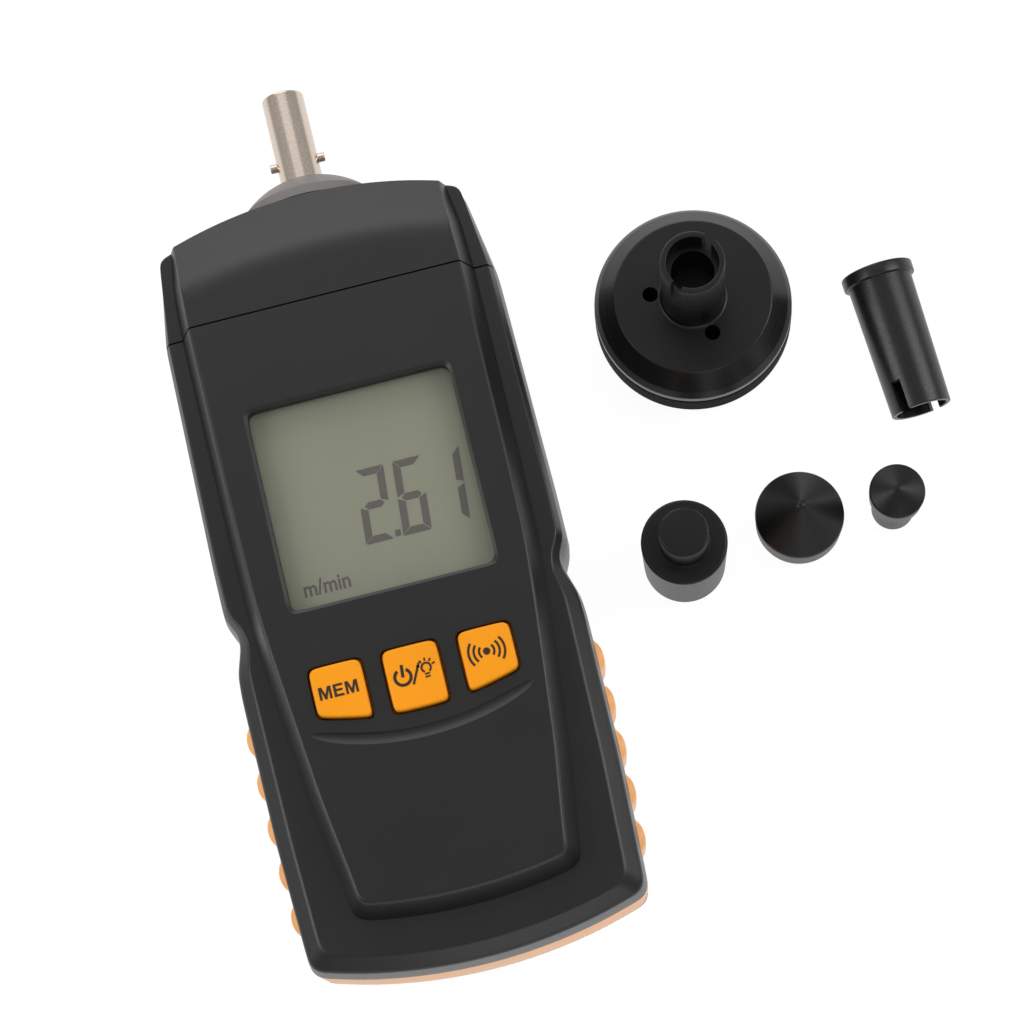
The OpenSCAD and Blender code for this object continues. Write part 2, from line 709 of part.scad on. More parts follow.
// Grip band
// Half width of the housing's edge line at a place along it
side_table = [for (i = [0 : 1]) [at(side_shares[i][1]), side_shares[i][0] * body_half]];
edge_table = concat([[tail_sag - tail_y, tail_half]], side_table);
rib_r = (pow(rib_l / 2, 2) + pow(rib_h, 2)) / (2 * rib_h);
rib_x = flare - grip_sink + rib_h - rib_r;
rib_top_y = grip_y - rib_pitch;
rib_end = 1.2;

module grip_band() {
    color([1, 0.62, 0.25]) difference() {
        union() {
            difference() {
                trimmed(grip_z0 + fit_gap, grip_z1 - fit_gap) loft(grip_rings);
                span([-reach, grip_y - fit_gap, -reach], [reach, reach, reach]);
            }
            both_sides() for (i = [0 : rib_count - 1]) let (y = rib_top_y - i * rib_pitch)
                translate([lookup(y, edge_table) + rib_x, y, grip_z0 + rib_end]) {
                    cylinder(r = rib_r, h = grip_z1 - grip_z0 - 2 * rib_end);
                    translate([0, 0, grip_z1 - grip_z0 - 2 * rib_end])
                        cylinder(r1 = rib_r, r2 = rib_r - rib_h, h = rib_end / 2);
                    translate([0, 0, -rib_end / 2])
                        cylinder(r1 = rib_r - rib_h, r2 = rib_r, h = rib_end / 2);
                }
        }
        prism(body_rows, grip_d, grip_z0 - over, grip_z1 + over);
    }
}

thumb_count = 5;
thumb_pitch = 1.8;
thumb_w = 0.9;
thumb_l = 14;
thumb_depth = 0.4;

module battery_door() {
    color([0.16, 0.16, 0.16]) difference() {
        intersection() {
            loft(lower_rings);
            union() {
                span([-door_half, -reach, 0], [door_half, bay_y1, door_face_t + tongue_t]);
                span([-tongue_half, -reach, door_face_t], [tongue_half, bay_y1, door_face_t + tongue_t]);
            }
        }
        for (i = [1 : thumb_count]) let (y = bay_y1 - 2 * thumb_pitch - i * thumb_pitch)
            span([-thumb_l / 2, y, -over], [thumb_l / 2, y + thumb_w, thumb_depth]);
    }
}

// Display
lens_gap = 0.2;
window_rim_z = roof_z - fit_gap - window_rim_t;
glass_z = window_rim_z - fit_gap - glass_t;
board_top_z = shoulder_roof_z - board_pad;
board_z = board_top_z - board_t;
backlight_z = board_top_z + fit_gap;
glass_w = window_w + 2 * glass_over;
glass_l = window_l + 2 * glass_over;
connector_w = 1.6;
backlight_end = 2 * connector_w;

module display_window() {
    color([0.75, 0.78, 0.72, 0.6]) {
        prism(window_rows, lens_gap, window_rim_z, body_t - window_sink);
        prism(window_rows, -window_rim, window_rim_z, window_rim_z + window_rim_t);
    }
}

module lcd_frame() {
    color([0.12, 0.12, 0.12]) difference() {
        span([-glass_w / 2 - frame_wall, window_y - glass_l / 2 - frame_wall, board_top_z],
             [glass_w / 2 + frame_wall, window_y + glass_l / 2 + frame_wall, glass_z + glass_t]);
        span([-glass_w / 2 - fit_gap, window_y - glass_l / 2 - fit_gap, board_top_z - over],
             [glass_w / 2 + fit_gap, window_y + glass_l / 2 + fit_gap, glass_z + glass_t + over]);
    }
}

module lcd_glass() {
    color([0.53, 0.53, 0.47]) span([-glass_w / 2, window_y - glass_l / 2, glass_z],
                                   [glass_w / 2, window_y + glass_l / 2, glass_z + glass_t]);
}

module lcd_backlight() {
    color([0.9, 0.9, 0.86]) span([-glass_w / 2, window_y - glass_l / 2 + backlight_end, backlight_z],
                                 [glass_w / 2, window_y + glass_l / 2, glass_z - fit_gap]);
}

module lcd_connector() {
    color([0.75, 0.45, 0.5]) span([-window_w / 2, window_y - glass_l / 2 + connector_w / 2, board_top_z],
                                  [window_w / 2, window_y - glass_l / 2 + connector_w * 3 / 2, glass_z]);
}

// Circuit board
pin_place_y = sensor_y0 + sensor_hole_inset;
header_pitch = 2.54;
header_r = 0.32;
header_places = [for (i = [0 : 3]) [(i - 1.5) * header_pitch, pin_place_y]];
board_notch = boss_r + move_gap;

module circuit_board() {
    color([0.1, 0.35, 0.2]) difference() {
        span([-board_w / 2, board_y0, board_z], [board_w / 2, board_y1, board_top_z]);
        both_sides() translate([mid_screw_x, mid_screw_y, board_z - over])
            cylinder(r = board_notch, h = board_t + 2 * over);
        for (p = board_screw_places) translate([p.x, p.y, board_z - over])
            cylinder(r = board_screw_r + move_gap, h = board_t + 2 * over);
        for (p = header_places) translate([p.x, p.y, board_z - over])
            cylinder(r = header_r + fit_gap, h = board_t + 2 * over);
    }
}

chip_w = 10;
chip_t = 1.6;
small_chip_w = 6;
chip_y = -20;
cap_r = 2.5;
cap_h = 4;
can_l = 10;
can_w = 3.6;
can_t = 3.2;

// The processor, the memory chip, a capacitor and the quartz can, below the board
module board_parts() {
    color([0.1, 0.1, 0.1]) {
        span([-chip_w / 2, chip_y, board_z - chip_t], [chip_w / 2, chip_y + chip_w, board_z]);
        span([chip_w, chip_y, board_z - chip_t], [chip_w + small_chip_w, chip_y + small_chip_w, board_z]);
    }
    color([0.7, 0.7, 0.72]) {
        span([-can_l / 2, chip_y + 2 * chip_w, board_z - can_t],
             [can_l / 2, chip_y + 2 * chip_w + can_w, board_z]);
        translate([-chip_w - cap_r, chip_y, board_z - cap_h]) cylinder(r = cap_r, h = cap_h);
    }
}

module board_screws() {
    color([0.75, 0.75, 0.76]) for (p = board_screw_places) translate([p.x, p.y, board_z - board_head_t]) {
        cylinder(r = board_head_r, h = board_head_t);
        cylinder(r = board_screw_r, h = board_head_t + board_t + board_pad + pilot_depth / 2);
    }
}

// Keys
key_top_z = body_t + key_proud;
key_rim = 0.8;
key_rim_t = 1;
key_rim_z = roof_z - fit_gap - key_rim_t;
dome_r0 = 3;
dome_r1 = 2.4;
dome_h = 1.2;
mat_t = 1;
mat_z = board_top_z;
stem_gap = 0.2;
key_stem_r = 2.2;
key_stem_z = mat_z + mat_t + dome_h + key_travel + stem_gap;
key_mid_y = (key_top_y + key_low_y) / 2;
key_places = [-key_half + key_w / 2, 0, key_half - key_w / 2];
mat_margin = 0.8;

module keypad_mat() {
    color([0.55, 0.55, 0.55]) {
        span([-key_half - mat_margin, key_low_y - mat_margin, mat_z],
             [key_half + mat_margin, key_top_y + mat_margin, mat_z + mat_t]);
        for (x = key_places) translate([x, key_mid_y, mat_z + mat_t])
            cylinder(r1 = dome_r0, r2 = dome_r1, h = dome_h);
    }
}

module key_cap(rows, x) {
    color([1, 0.63, 0.16]) {
        loft([
            ring(rows, 0, key_rim_z), ring(rows, 0, key_top_z - key_bevel), ring(rows, key_bevel, key_top_z)]);
        prism(rows, -key_rim, key_rim_z, key_rim_z + key_rim_t);
        translate([x, key_mid_y, key_stem_z])
            cylinder(r = key_stem_r, h = key_rim_z + key_rim_t / 2 - key_stem_z);
    }
}

module memory_key() {
    key_cap(memory_rows, key_places[0]);
}

module power_key() {
    key_cap(power_rows, key_places[1]);
}

module signal_key() {
    key_cap(signal_rows, key_places[2]);
}

// Spindle, its housing and its bearings
dome_y = collar_y - dome_r;
dome_steps = 10;
front_bore_r = spindle_r + move_gap;
dome_start = asin(collar_r / dome_r);
dome_end = asin(front_bore_r / dome_r);
front_lip_t = 1.8;
front_seat_y = collar_y - front_lip_t - bearing_w;
middle_bore_r = bearing_r - 1.5;
collar_back_y = nose_y + flare + fit_gap;

module spindle_housing() {
    color([0.42, 0.41, 0.4]) turned_about_spindle(concat(
        [[bearing_r, sleeve_y], [sleeve_r, sleeve_y], [sleeve_r, collar_back_y], [collar_r, collar_back_y]],
        [for (i = [0 : dome_steps]) let (a = dome_start + (dome_end - dome_start) * i / dome_steps)
            [dome_r * sin(a), dome_y + dome_r * cos(a)]],
        [[front_bore_r, front_seat_y + bearing_w], [bearing_r, front_seat_y + bearing_w],
         [bearing_r, front_seat_y], [middle_bore_r, front_seat_y],
         [middle_bore_r, sleeve_y + bearing_w], [bearing_r, sleeve_y + bearing_w]]
    ));
}

race_t = 1.1;
shield_sink = 0.3;

// A shielded bearing: two races with the shields set back between them
module bearing(y0) {
    inner = journal_r + run_gap;
    outer = bearing_r - fit_gap;
    y1 = y0 + bearing_w - fit_gap;
    color([0.8, 0.8, 0.8]) turned_about_spindle([
        [inner, y0], [inner + race_t, y0], [inner + race_t, y0 + shield_sink],
        [outer - race_t, y0 + shield_sink], [outer - race_t, y0], [outer, y0],
        [outer, y1], [outer - race_t, y1], [outer - race_t, y1 - shield_sink],
        [inner + race_t, y1 - shield_sink], [inner + race_t, y1], [inner, y1]]);
}

module front_bearing() {
    bearing(front_seat_y);
}

module rear_bearing() {
    bearing(sleeve_y);
}

spindle_back_y = disc_y - 1.6;
shoulder_y = front_seat_y + bearing_w + run_gap;
relief = 0.2;
tip_bevel = 0.5;
clip_w = 0.6;
clip_y = sleeve_y - run_gap - clip_w;
clip_groove = 0.4;
clip_r = 4.6;

module spindle() {
    color([0.82, 0.78, 0.74]) difference() {
        turned_about_spindle([
            [0, spindle_back_y], [journal_r - tip_bevel, spindle_back_y],
            [journal_r, spindle_back_y + tip_bevel],
            [journal_r, clip_y - fit_gap], [journal_r - clip_groove, clip_y - fit_gap],
            [journal_r - clip_groove, clip_y + clip_w + fit_gap], [journal_r, clip_y + clip_w + fit_gap],
            [journal_r, shoulder_y], [spindle_r - relief, shoulder_y],
            [spindle_r - relief, pin_y + pin_r + relief], [spindle_r, pin_y + pin_r + 2 * relief],
            [spindle_r, tip_y - tip_bevel], [spindle_r - tip_bevel, tip_y], [0, tip_y]]);
        translate([-pin_l / 2, pin_y, spindle_z]) rotate([0, 90, 0])
            cylinder(r = pin_r + fit_gap / 2, h = pin_l);
    }
}

module drive_pin() {
    color([0.75, 0.74, 0.72])
        translate([-pin_l / 2, pin_y, spindle_z]) rotate([0, 90, 0]) cylinder(r = pin_r, h = pin_l);
}

disc_hub_r = 4.6;
eye_base_t = 1.8;
disc_drop = 1.1;
disc_r = spindle_z - sensor_z - board_t - eye_base_t - disc_drop;
disc_hub_y = clip_y - run_gap;
disc_slot_w = 0.7;
disc_slot_l = 2;
disc_rim = 0.6;

module encoder_disc() {
    color([0.2, 0.2, 0.22]) difference() {
        union() {
            spindle_cylinder(disc_r, disc_y - disc_t / 2, disc_y + disc_t / 2);
            spindle_cylinder(disc_hub_r, disc_y, disc_hub_y);
        }
        spindle_cylinder(journal_r + fit_gap / 2, disc_y - over, disc_hub_y + over);
        for (i = [0 : disc_slots - 1]) translate([0, disc_y, spindle_z]) rotate([0, i * 360 / disc_slots, 0])
            span([disc_r - disc_rim - disc_slot_l, -disc_t, -disc_slot_w / 2],
                 [disc_r - disc_rim, disc_t, disc_slot_w / 2]);
    }
}

module retaining_clip() {
    color([0.3, 0.3, 0.32]) difference() {
        spindle_cylinder(clip_r, clip_y, clip_y + clip_w);
        spindle_cylinder(journal_r - clip_groove + fit_gap, clip_y - over, clip_y + clip_w + over);
        span([-(journal_r - clip_groove), clip_y - over, spindle_z - clip_r - over],
             [journal_r - clip_groove, clip_y + clip_w + over, spindle_z]);
    }
}

// Sensor
module sensor_board() {
    color([0.1, 0.35, 0.2]) difference() {
        span([-sensor_w / 2, sensor_y0, sensor_z], [sensor_w / 2, sensor_y0 + sensor_l, sensor_z + board_t]);
        for (p = sensor_places) translate([p.x, p.y, sensor_z - over])
            cylinder(r = sensor_screw_r + move_gap, h = board_t + 2 * over);
        for (p = header_places) translate([p.x, p.y, sensor_z - over])
            cylinder(r = header_r + fit_gap, h = board_t + 2 * over);
    }
}

arm_t = 1.6;
arm_gap = 2;
arm_w = 5;
eye_top_gap = 0.7;
eye_top_z = spindle_z - disc_hub_r - eye_top_gap;

module photo_interrupter() {
    color([0.08, 0.08, 0.08]) difference() {
        span([-arm_w / 2, disc_y - arm_gap / 2 - arm_t, sensor_z + board_t],
             [arm_w / 2, disc_y + arm_gap / 2 + arm_t, eye_top_z]);
        span([-arm_w, disc_y - arm_gap / 2, sensor_z + board_t + eye_base_t],
             [arm_w, disc_y + arm_gap / 2, eye_top_z + over]);
    }
}

module sensor_pins() {
    color([0.85, 0.7, 0.3]) for (p = header_places) translate([p.x, p.y, sensor_z])
        cylinder(r = header_r, h = board_top_z - sensor_z);
}

sensor_head_r = 1.5;
sensor_head_t = 1;

module sensor_screws() {
    color([0.75, 0.75, 0.76]) for (p = sensor_places) translate([p.x, p.y, 0]) {
        translate([0, 0, sensor_z + board_t]) cylinder(r = sensor_head_r, h = sensor_head_t);
        translate([0, 0, floor_t + fit_gap])
            cylinder(r = sensor_screw_r, h = sensor_z + board_t - floor_t);
    }
}

// Cells and their contacts
nub_r = 1.9;
nub_l = 0.8;
contact_t = 0.4;
contact_w = 8;
contact_bump = 0.7;
cell_gap = (bay_l - cell_l) / 2;
cell_y0 = bay_y0 + cell_gap;

// A cell whose button points towards the nose, or with turn = 180 towards the tail
module cell(x, turn) {
    translate([x, cell_y0 + cell_l / 2, cell_z]) rotate([-90, 0, turn]) translate([0, 0, -cell_l / 2]) {
        color([0.25, 0.3, 0.4]) cylinder(r = cell_r, h = cell_l - nub_l);
        color([0.8, 0.8, 0.8]) cylinder(r = nub_r, h = cell_l);
    }
}

module cell_left() {
    cell(-cell_pitch, 0);
}

module cell_middle() {
    cell(0, 180);
}

module cell_right() {
    cell(cell_pitch, 0);
}

module battery_contacts() {
    color([0.8, 0.78, 0.7]) for (x = [-cell_pitch, 0, cell_pitch], s = [-1, 1])
        translate([x, (bay_y0 + bay_y1) / 2 + s * (bay_l / 2 - fit_gap), cell_z]) rotate([90 * s, 0, 0]) {
            translate([-contact_w / 2, -contact_w / 2, 0]) cube([contact_w, contact_w, contact_t]);
            cylinder(r = nub_r, h = contact_t + contact_bump);
        }
}

cross_w = 0.7;
cross_depth = 0.8;

module case_screws() {
    color([0.7, 0.7, 0.72]) for (p = case_screw_places) translate([p.x, p.y, 0]) difference() {
        union() {
            translate([0, 0, screw_sink]) cylinder(r = screw_head_r, h = screw_head_t);
            translate([0, 0, screw_sink + screw_head_t / 2])
                cylinder(r = screw_r, h = shoulder_roof_z - screw_sink - screw_head_t - over);
        }
        for (a = [0, 90]) rotate([0, 0, a]) translate([0, 0, screw_sink]) cube(
            [2 * screw_head_r - 2 * cross_w, cross_w, 2 * cross_depth], center = true);
    }
}

// Surface speed wheel
adapter_bore_r = spindle_r + slide_gap;
drum_r = tyre_r - tyre_t;
tyre_z = wheel_lip_t;
flange_z = tyre_z + tyre_w + 0.3 * wheel_lip_t;
flange_r = tyre_r - fit_gap;
lip_r = tyre_r - wheel_lip_t;
edge_bevel = 0.4;
rim_run = 0.7;
rim_drop = 1.2;

// The bore that fits the spindle, from its mouth at z = 0 down, with the slots for the cross pin
module spindle_socket(wall, slot_turn) {
    translate([0, 0, -mouth_d]) cylinder(r = mouth_r, h = mouth_d + over);
    translate([0, 0, -mouth_d - bore_d]) cylinder(r = adapter_bore_r, h = mouth_d + bore_d);
    rotate([0, 0, slot_turn]) span([-wall - over, -slot_w / 2, -mouth_d], [wall + over, slot_w / 2, over]);
}

module wheel_disc() {
    color([0.15, 0.15, 0.15]) translate([wheel_x, wheel_y, 0]) difference() {
        union() {
            rotate_extrude() polygon([
                [0, 0], [lip_r, 0], [lip_r, wheel_lip_t], [drum_r, wheel_lip_t], [drum_r, flange_z],
                [flange_r - edge_bevel, flange_z], [flange_r, flange_z + edge_bevel],
                [flange_r, wheel_edge_z - rim_drop], [flange_r - rim_run, wheel_edge_z],
                [wheel_face_r, wheel_face_z], [0, wheel_face_z]]);
            cylinder(r = hub_r, h = hub_z);
        }
        translate([0, 0, hub_z]) spindle_socket(hub_r, wheel_turn);
        for (i = [0 : 2]) rotate([0, 0, wheel_turn + i * 120])
            translate([wheel_hole_ring, 0, wheel_face_z - wheel_hole_d])
                cylinder(r = wheel_hole_r, h = wheel_hole_d + over);
    }
}

module wheel_tyre() {
    color([0.1, 0.1, 0.1]) translate([wheel_x, wheel_y, tyre_z]) rotate_extrude() polygon([
        [drum_r + fit_gap, 0], [tyre_r - edge_bevel, 0], [tyre_r, edge_bevel], [tyre_r, tyre_w - edge_bevel],
        [tyre_r - edge_bevel, tyre_w], [drum_r + fit_gap, tyre_w]]);
}

// Extension tube, which lies on its flange and its slotted end
tube_lean = atan((tube_flange_r - tube_r) / (tube_l - tube_flange_t));
tube_mid_z = tube_r * cos(tube_lean) + tube_l / 2 * sin(tube_lean);

module extension_tube() {
    color([0.13, 0.13, 0.13]) translate([tube_x, tube_y, tube_mid_z]) rotate([0, 0, tube_turn])
        rotate([90 + tube_lean, 0, 0]) translate([0, 0, tube_l / 2]) difference() {
            union() {
                translate([0, 0, -tube_l]) cylinder(r1 = tube_root_r, r2 = tube_r, h = tube_l);
                translate([0, 0, -tube_l]) cylinder(r = tube_flange_r, h = tube_flange_t);
            }
            spindle_socket(tube_r, tube_slot_turn);
            translate([0, 0, -tube_l - over]) cylinder(r = socket_r, h = socket_d + over);
        }
}

stub_bevel = 0.5;

module funnel_tip() {
    color([0.12, 0.12, 0.12]) translate([funnel_x, funnel_y, 0]) rotate_extrude() polygon([
        [0, funnel_d], [funnel_mouth_r, 0], [funnel_foot_r, 0], [funnel_r, funnel_h], [stub_r, funnel_h],
        [stub_r, funnel_h + funnel_stub_l - stub_bevel], [stub_r - stub_bevel, funnel_h + funnel_stub_l],
        [0, funnel_h + funnel_stub_l]]);
}

cone_point_r = 0.5;

module large_cone_tip() {
    color([0.12, 0.12, 0.12]) translate([cone_x, cone_y, 0]) rotate_extrude() polygon([
        [0, 0], [stub_r - stub_bevel, 0], [stub_r, stub_bevel], [stub_r, cone_stub_l],
        [cone_r - stub_bevel / 2, cone_stub_l], [cone_r, cone_rim_z], [cone_point_r, cone_top_z],
        [0, cone_top_z]]);
}

module small_cone_tip() {
    color([0.12, 0.12, 0.12]) translate([point_x, point_y, 0]) rotate_extrude() polygon([
        [0, 0], [stem_r - stub_bevel, 0], [stem_r, stub_bevel], [stem_r, stem_l],
        [point_r - stub_bevel / 2, stem_l], [point_r, point_rim_z], [cone_point_r, point_top_z],
        [0, point_top_z]]);
}

front_shell();
nose_cap();
back_shell();
grip_band();
battery_door();
display_window();
lcd_frame();
lcd_glass();
lcd_backlight();
lcd_connector();
circuit_board();
board_parts();
board_screws();
keypad_mat();
memory_key();
power_key();
signal_key();
spindle_housing();
front_bearing();
rear_bearing();
spindle();
drive_pin();
encoder_disc();
retaining_clip();
sensor_board();
photo_interrupter();
sensor_pins();
sensor_screws();
cell_left();
cell_middle();
cell_right();
battery_contacts();
case_screws();
wheel_disc();
wheel_tyre();
extension_tube();
funnel_tip();
large_cone_tip();
small_cone_tip();
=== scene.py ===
import math

import bmesh
import bpy
import numpy as np
from mathutils import Matrix, Vector

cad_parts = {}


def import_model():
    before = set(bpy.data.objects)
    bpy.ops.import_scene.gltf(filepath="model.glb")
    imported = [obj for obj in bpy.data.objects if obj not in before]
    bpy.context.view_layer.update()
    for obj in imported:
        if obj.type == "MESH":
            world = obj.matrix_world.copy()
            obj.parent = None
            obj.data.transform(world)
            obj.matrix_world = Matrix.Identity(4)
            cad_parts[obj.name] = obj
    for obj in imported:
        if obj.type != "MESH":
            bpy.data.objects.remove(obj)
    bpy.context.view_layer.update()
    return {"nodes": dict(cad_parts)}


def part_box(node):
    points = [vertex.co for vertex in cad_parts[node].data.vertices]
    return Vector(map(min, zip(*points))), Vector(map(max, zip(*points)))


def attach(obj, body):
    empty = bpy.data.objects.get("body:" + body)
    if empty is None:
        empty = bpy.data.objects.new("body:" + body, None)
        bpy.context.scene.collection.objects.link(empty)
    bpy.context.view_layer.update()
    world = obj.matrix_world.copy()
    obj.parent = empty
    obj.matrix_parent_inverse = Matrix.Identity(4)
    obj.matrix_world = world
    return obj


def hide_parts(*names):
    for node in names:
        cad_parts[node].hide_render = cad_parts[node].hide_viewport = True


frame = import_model()

# Every size below is in millimetres, in the part's own frame, and becomes metres in new_mesh()
MM = 0.001

# Housing
BODY_HALF = 26.7
NOSE_HALF = 24.2
TAIL_HALF = 25.6
NOSE_Y = 61.4
TAIL_Y = 60.4
NOSE_SAG = 4.4
TAIL_SAG = 4.1
BODY_T = 32.5
SHOULDER_Z = 27.0
PARTING_Z = 14.0
FLARE = 0.6
EDGE_RUN = 2.4
EDGE_DROP = 1.8
PLATEAU_RUN = 1.9
SEAM_Y = 43.2
SEAM_GAP = 0.25
SLOPE_Y = 52.0
SLOPE_R = 95.0
SLOPE_PITCH = 9.5 / 4.0
SLOPE_SOFT = 2.2
ROOF_Z = 30.3
SHOULDER_ROOF_Z = 24.8
WALL = 2.2
BODY_L = NOSE_Y + TAIL_Y

# Share of the half width, share of the length, softening in mm, share of the shoulder's bevel
SIDE_SHARES = (
    (0.992, 0.2, 2.56, 1.0), (1.0, 0.385, 1.92, 0.9), (0.992, 0.414, 1.2, 0.8), (0.944, 0.448, 1.0, 0.6),
    (0.944, 0.464, 1.0, 0.4), (0.998, 0.488, 1.2, 0.35), (1.0, 0.56, 2.56, 0.3), (0.985, 0.8506, 1.6, 0.3),
)
PLATEAU_SHARES = (
    (0.678, 0.1264, 0.9), (0.745, 0.225, 2.4), (0.8015, 0.3432, 2.4), (0.835, 0.4179, 1.5),
    (0.86, 0.4877, 2.4), (0.869, 0.5944, 3.0), (0.876, 0.8506, 1.8), (0.865, 0.9146, 0.9),
)
ARC_SHARES = (0.0, 0.08, 0.16, 0.24, 0.32, 0.4, 0.48, 0.56, 0.64, 0.72)
CORNER_STEPS = 8
EDGE_STEP = 1.6

# Grip
GRIP_Z0 = 8.0
GRIP_Z1 = 20.0
GRIP_Y = -12.3
GRIP_D = 1.2
GRIP_SINK = 0.05
RIB_COUNT = 5
RIB_PITCH = 7.05
RIB_L = 4.8
RIB_H = 1.0

# Display
WINDOW_W = 31.75
WINDOW_L = 32.0
WINDOW_Y = 11.9
WINDOW_SINK = 0.7
GLASS_TOP_Z = 29.0

# Keys
KEY_W = 8.0
MID_KEY_W = 8.4
KEY_GAP = 3.2
KEY_TOP_Y = -13.45
KEY_LOW_Y = -23.05
KEY_SAG = 2.3
KEY_SOFT = 1.3
KEY_TOP_Z = 33.4
MOVE_GAP = 0.3


def vec(*xyz):
    return np.array(xyz, float)


def unit(v):
    return v / np.linalg.norm(v)


def rise(x, half, sag):
    return sag * (x / half) ** 2


def mirrored(half):
    """A closed outline from its right half, listed from the tail up."""
    return half + [(-p[0],) + tuple(p[1:]) for p in half[-2:0:-1]]


def along_body(share):
    return share * BODY_L - TAIL_Y


def body_rows():
    tail = [(s * TAIL_HALF, rise(s * TAIL_HALF, TAIL_HALF, TAIL_SAG) - TAIL_Y, 0, 1.0) for s in ARC_SHARES]
    sides = [(w * BODY_HALF, along_body(l), soft, bevel) for w, l, soft, bevel in SIDE_SHARES]
    nose = [(s * NOSE_HALF, NOSE_Y - rise(s * NOSE_HALF, NOSE_HALF, NOSE_SAG), 0, 0.0) for s in ARC_SHARES[::-1]]
    corners = [(TAIL_HALF, TAIL_SAG - TAIL_Y, 2.2, 1.0)], [(NOSE_HALF, NOSE_Y - NOSE_SAG, 1.4, 0.0)]
    return mirrored(tail + corners[0] + sides + corners[1] + nose)


def plateau_rows():
    tail_half = 0.652 * BODY_HALF
    nose_half = 0.806 * BODY_HALF
    tail_y = along_body(0.064)
    tail_sag = 1.9
    nose_over = 4.0
    tail = [(s * tail_half, tail_y + rise(s * tail_half, tail_half, tail_sag), 0) for s in ARC_SHARES]
    sides = [(w * BODY_HALF, along_body(l), soft) for w, l, soft in PLATEAU_SHARES]
    nose = [(s * nose_half, NOSE_Y + nose_over - rise(s * nose_half, NOSE_HALF, NOSE_SAG), 0)
            for s in (1,) + ARC_SHARES[::-1]]
    return mirrored(tail + [(tail_half, tail_y + tail_sag, 2.6)] + sides + nose)


def moved_in(rows, by):
    """The outline's corners moved inwards by one distance, or by one for each corner."""
    n = len(rows)
    pts = [vec(*r[:2]) for r in rows]
    by = [by] * n if np.isscalar(by) else by
    out = []
    for i in range(n):
        u = unit(pts[i] - pts[i - 1])
        v = unit(pts[(i + 1) % n] - pts[i])
        a = vec(u[1], -u[0])
        b = vec(v[1], -v[0])
        out.append(pts[i] - (a + b) * by[i] / (1 + a @ b))
    return out


def outline(rows, by=0.0):
    """A dense outline with soft corners. It has the same number of points at any inset."""
    n = len(rows)
    base = [vec(*r[:2]) for r in rows]
    pts = moved_in(rows, by)
    starts, ends, curves = [], [], []
    for i in range(n):
        p = pts[i - 1] - pts[i]
        q = pts[(i + 1) % n] - pts[i]
        back = min(rows[i][2], 0.45 * np.linalg.norm(p), 0.45 * np.linalg.norm(q))
        a = pts[i] + unit(p) * back
        c = pts[i] + unit(q) * back
        steps = np.linspace(0, 1, CORNER_STEPS + 1) if rows[i][2] else [0.0]
        curves.append([a * (1 - s) ** 2 + 2 * s * (1 - s) * pts[i] + c * s * s for s in steps])
    out = []
    for i in range(n):
        out += curves[i]
        count = max(1, round(np.linalg.norm(base[(i + 1) % n] - base[i]) / EDGE_STEP))
        start, end = curves[i][-1], curves[(i + 1) % n][0]
        out += [start + (end - start) * k / count for k in range(1, count)]
    out = np.array(out)
    for _ in range(3):
        out = 0.25 * np.roll(out, 1, 0) + 0.5 * out + 0.25 * np.roll(out, -1, 0)
    return out


def soft_profile(corners, steps=5):
    """Softens the corners of an open profile: each corner ends with how far back its curve starts."""
    pts = [vec(*c[:-1]) for c in corners]
    out = [pts[0]]
    for i in range(1, len(pts) - 1):
        back = corners[i][-1]
        p, q = pts[i - 1] - pts[i], pts[i + 1] - pts[i]
        if not back:
            out.append(pts[i])
            continue
        a, c = pts[i] + unit(p) * back, pts[i] + unit(q) * back
        out += [a * (1 - s) ** 2 + 2 * s * (1 - s) * pts[i] + c * s * s for s in np.linspace(0, 1, steps + 1)]
    return out + [pts[-1]]


def new_mesh(name, verts, faces):
    """A linked object from points in millimetres."""
    mesh = bpy.data.meshes.new(name)
    mesh.from_pydata([tuple(float(c) * MM for c in v) for v in verts], [], [tuple(int(i) for i in f) for f in faces])
    bm = bmesh.new()
    bm.from_mesh(mesh)
    bmesh.ops.recalc_face_normals(bm, faces=bm.faces)
    bm.to_mesh(mesh)
    bm.free()
    obj = bpy.data.objects.new(name, mesh)
    bpy.context.scene.collection.objects.link(obj)
    return obj


def loft(name, rings):
    """A closed solid through rings of equally many points, from the lowest ring up."""
    n = len(rings[0])
    verts = np.concatenate(rings)
    faces = [[k * n + i, k * n + (i + 1) % n, (k + 1) * n + (i + 1) % n, (k + 1) * n + i]
             for k in range(len(rings) - 1) for i in range(n)]
    faces.append(list(range(n))[::-1])
    faces.append([(len(rings) - 1) * n + i for i in range(n)])
    return new_mesh(name, verts, faces)


def lift(points, z):
    return np.c_[points, np.full(len(points), z)]


def box_mesh(name, low, high):
    x0, y0, z0 = low
    x1, y1, z1 = high
    ring = np.array([[x0, y0], [x1, y0], [x1, y1], [x0, y1]])
    return loft(name, [lift(ring, z0), lift(ring, z1)])


def rod(name, r, start, end, steps=64):
    """A straight cylinder between two points."""
    start, end = vec(*start), vec(*end)
    axis = unit(end - start)
    side = unit(np.cross(axis, vec(0, 0, 1) if abs(axis[2]) < 0.9 else vec(1, 0, 0)))
    other = np.cross(axis, side)
    angles = np.linspace(0, 2 * math.pi, steps, endpoint=False)
    circle = [side * math.cos(a) * r + other * math.sin(a) * r for a in angles]
    return loft(name, [np.array([start + c for c in circle]), np.array([end + c for c in circle])])


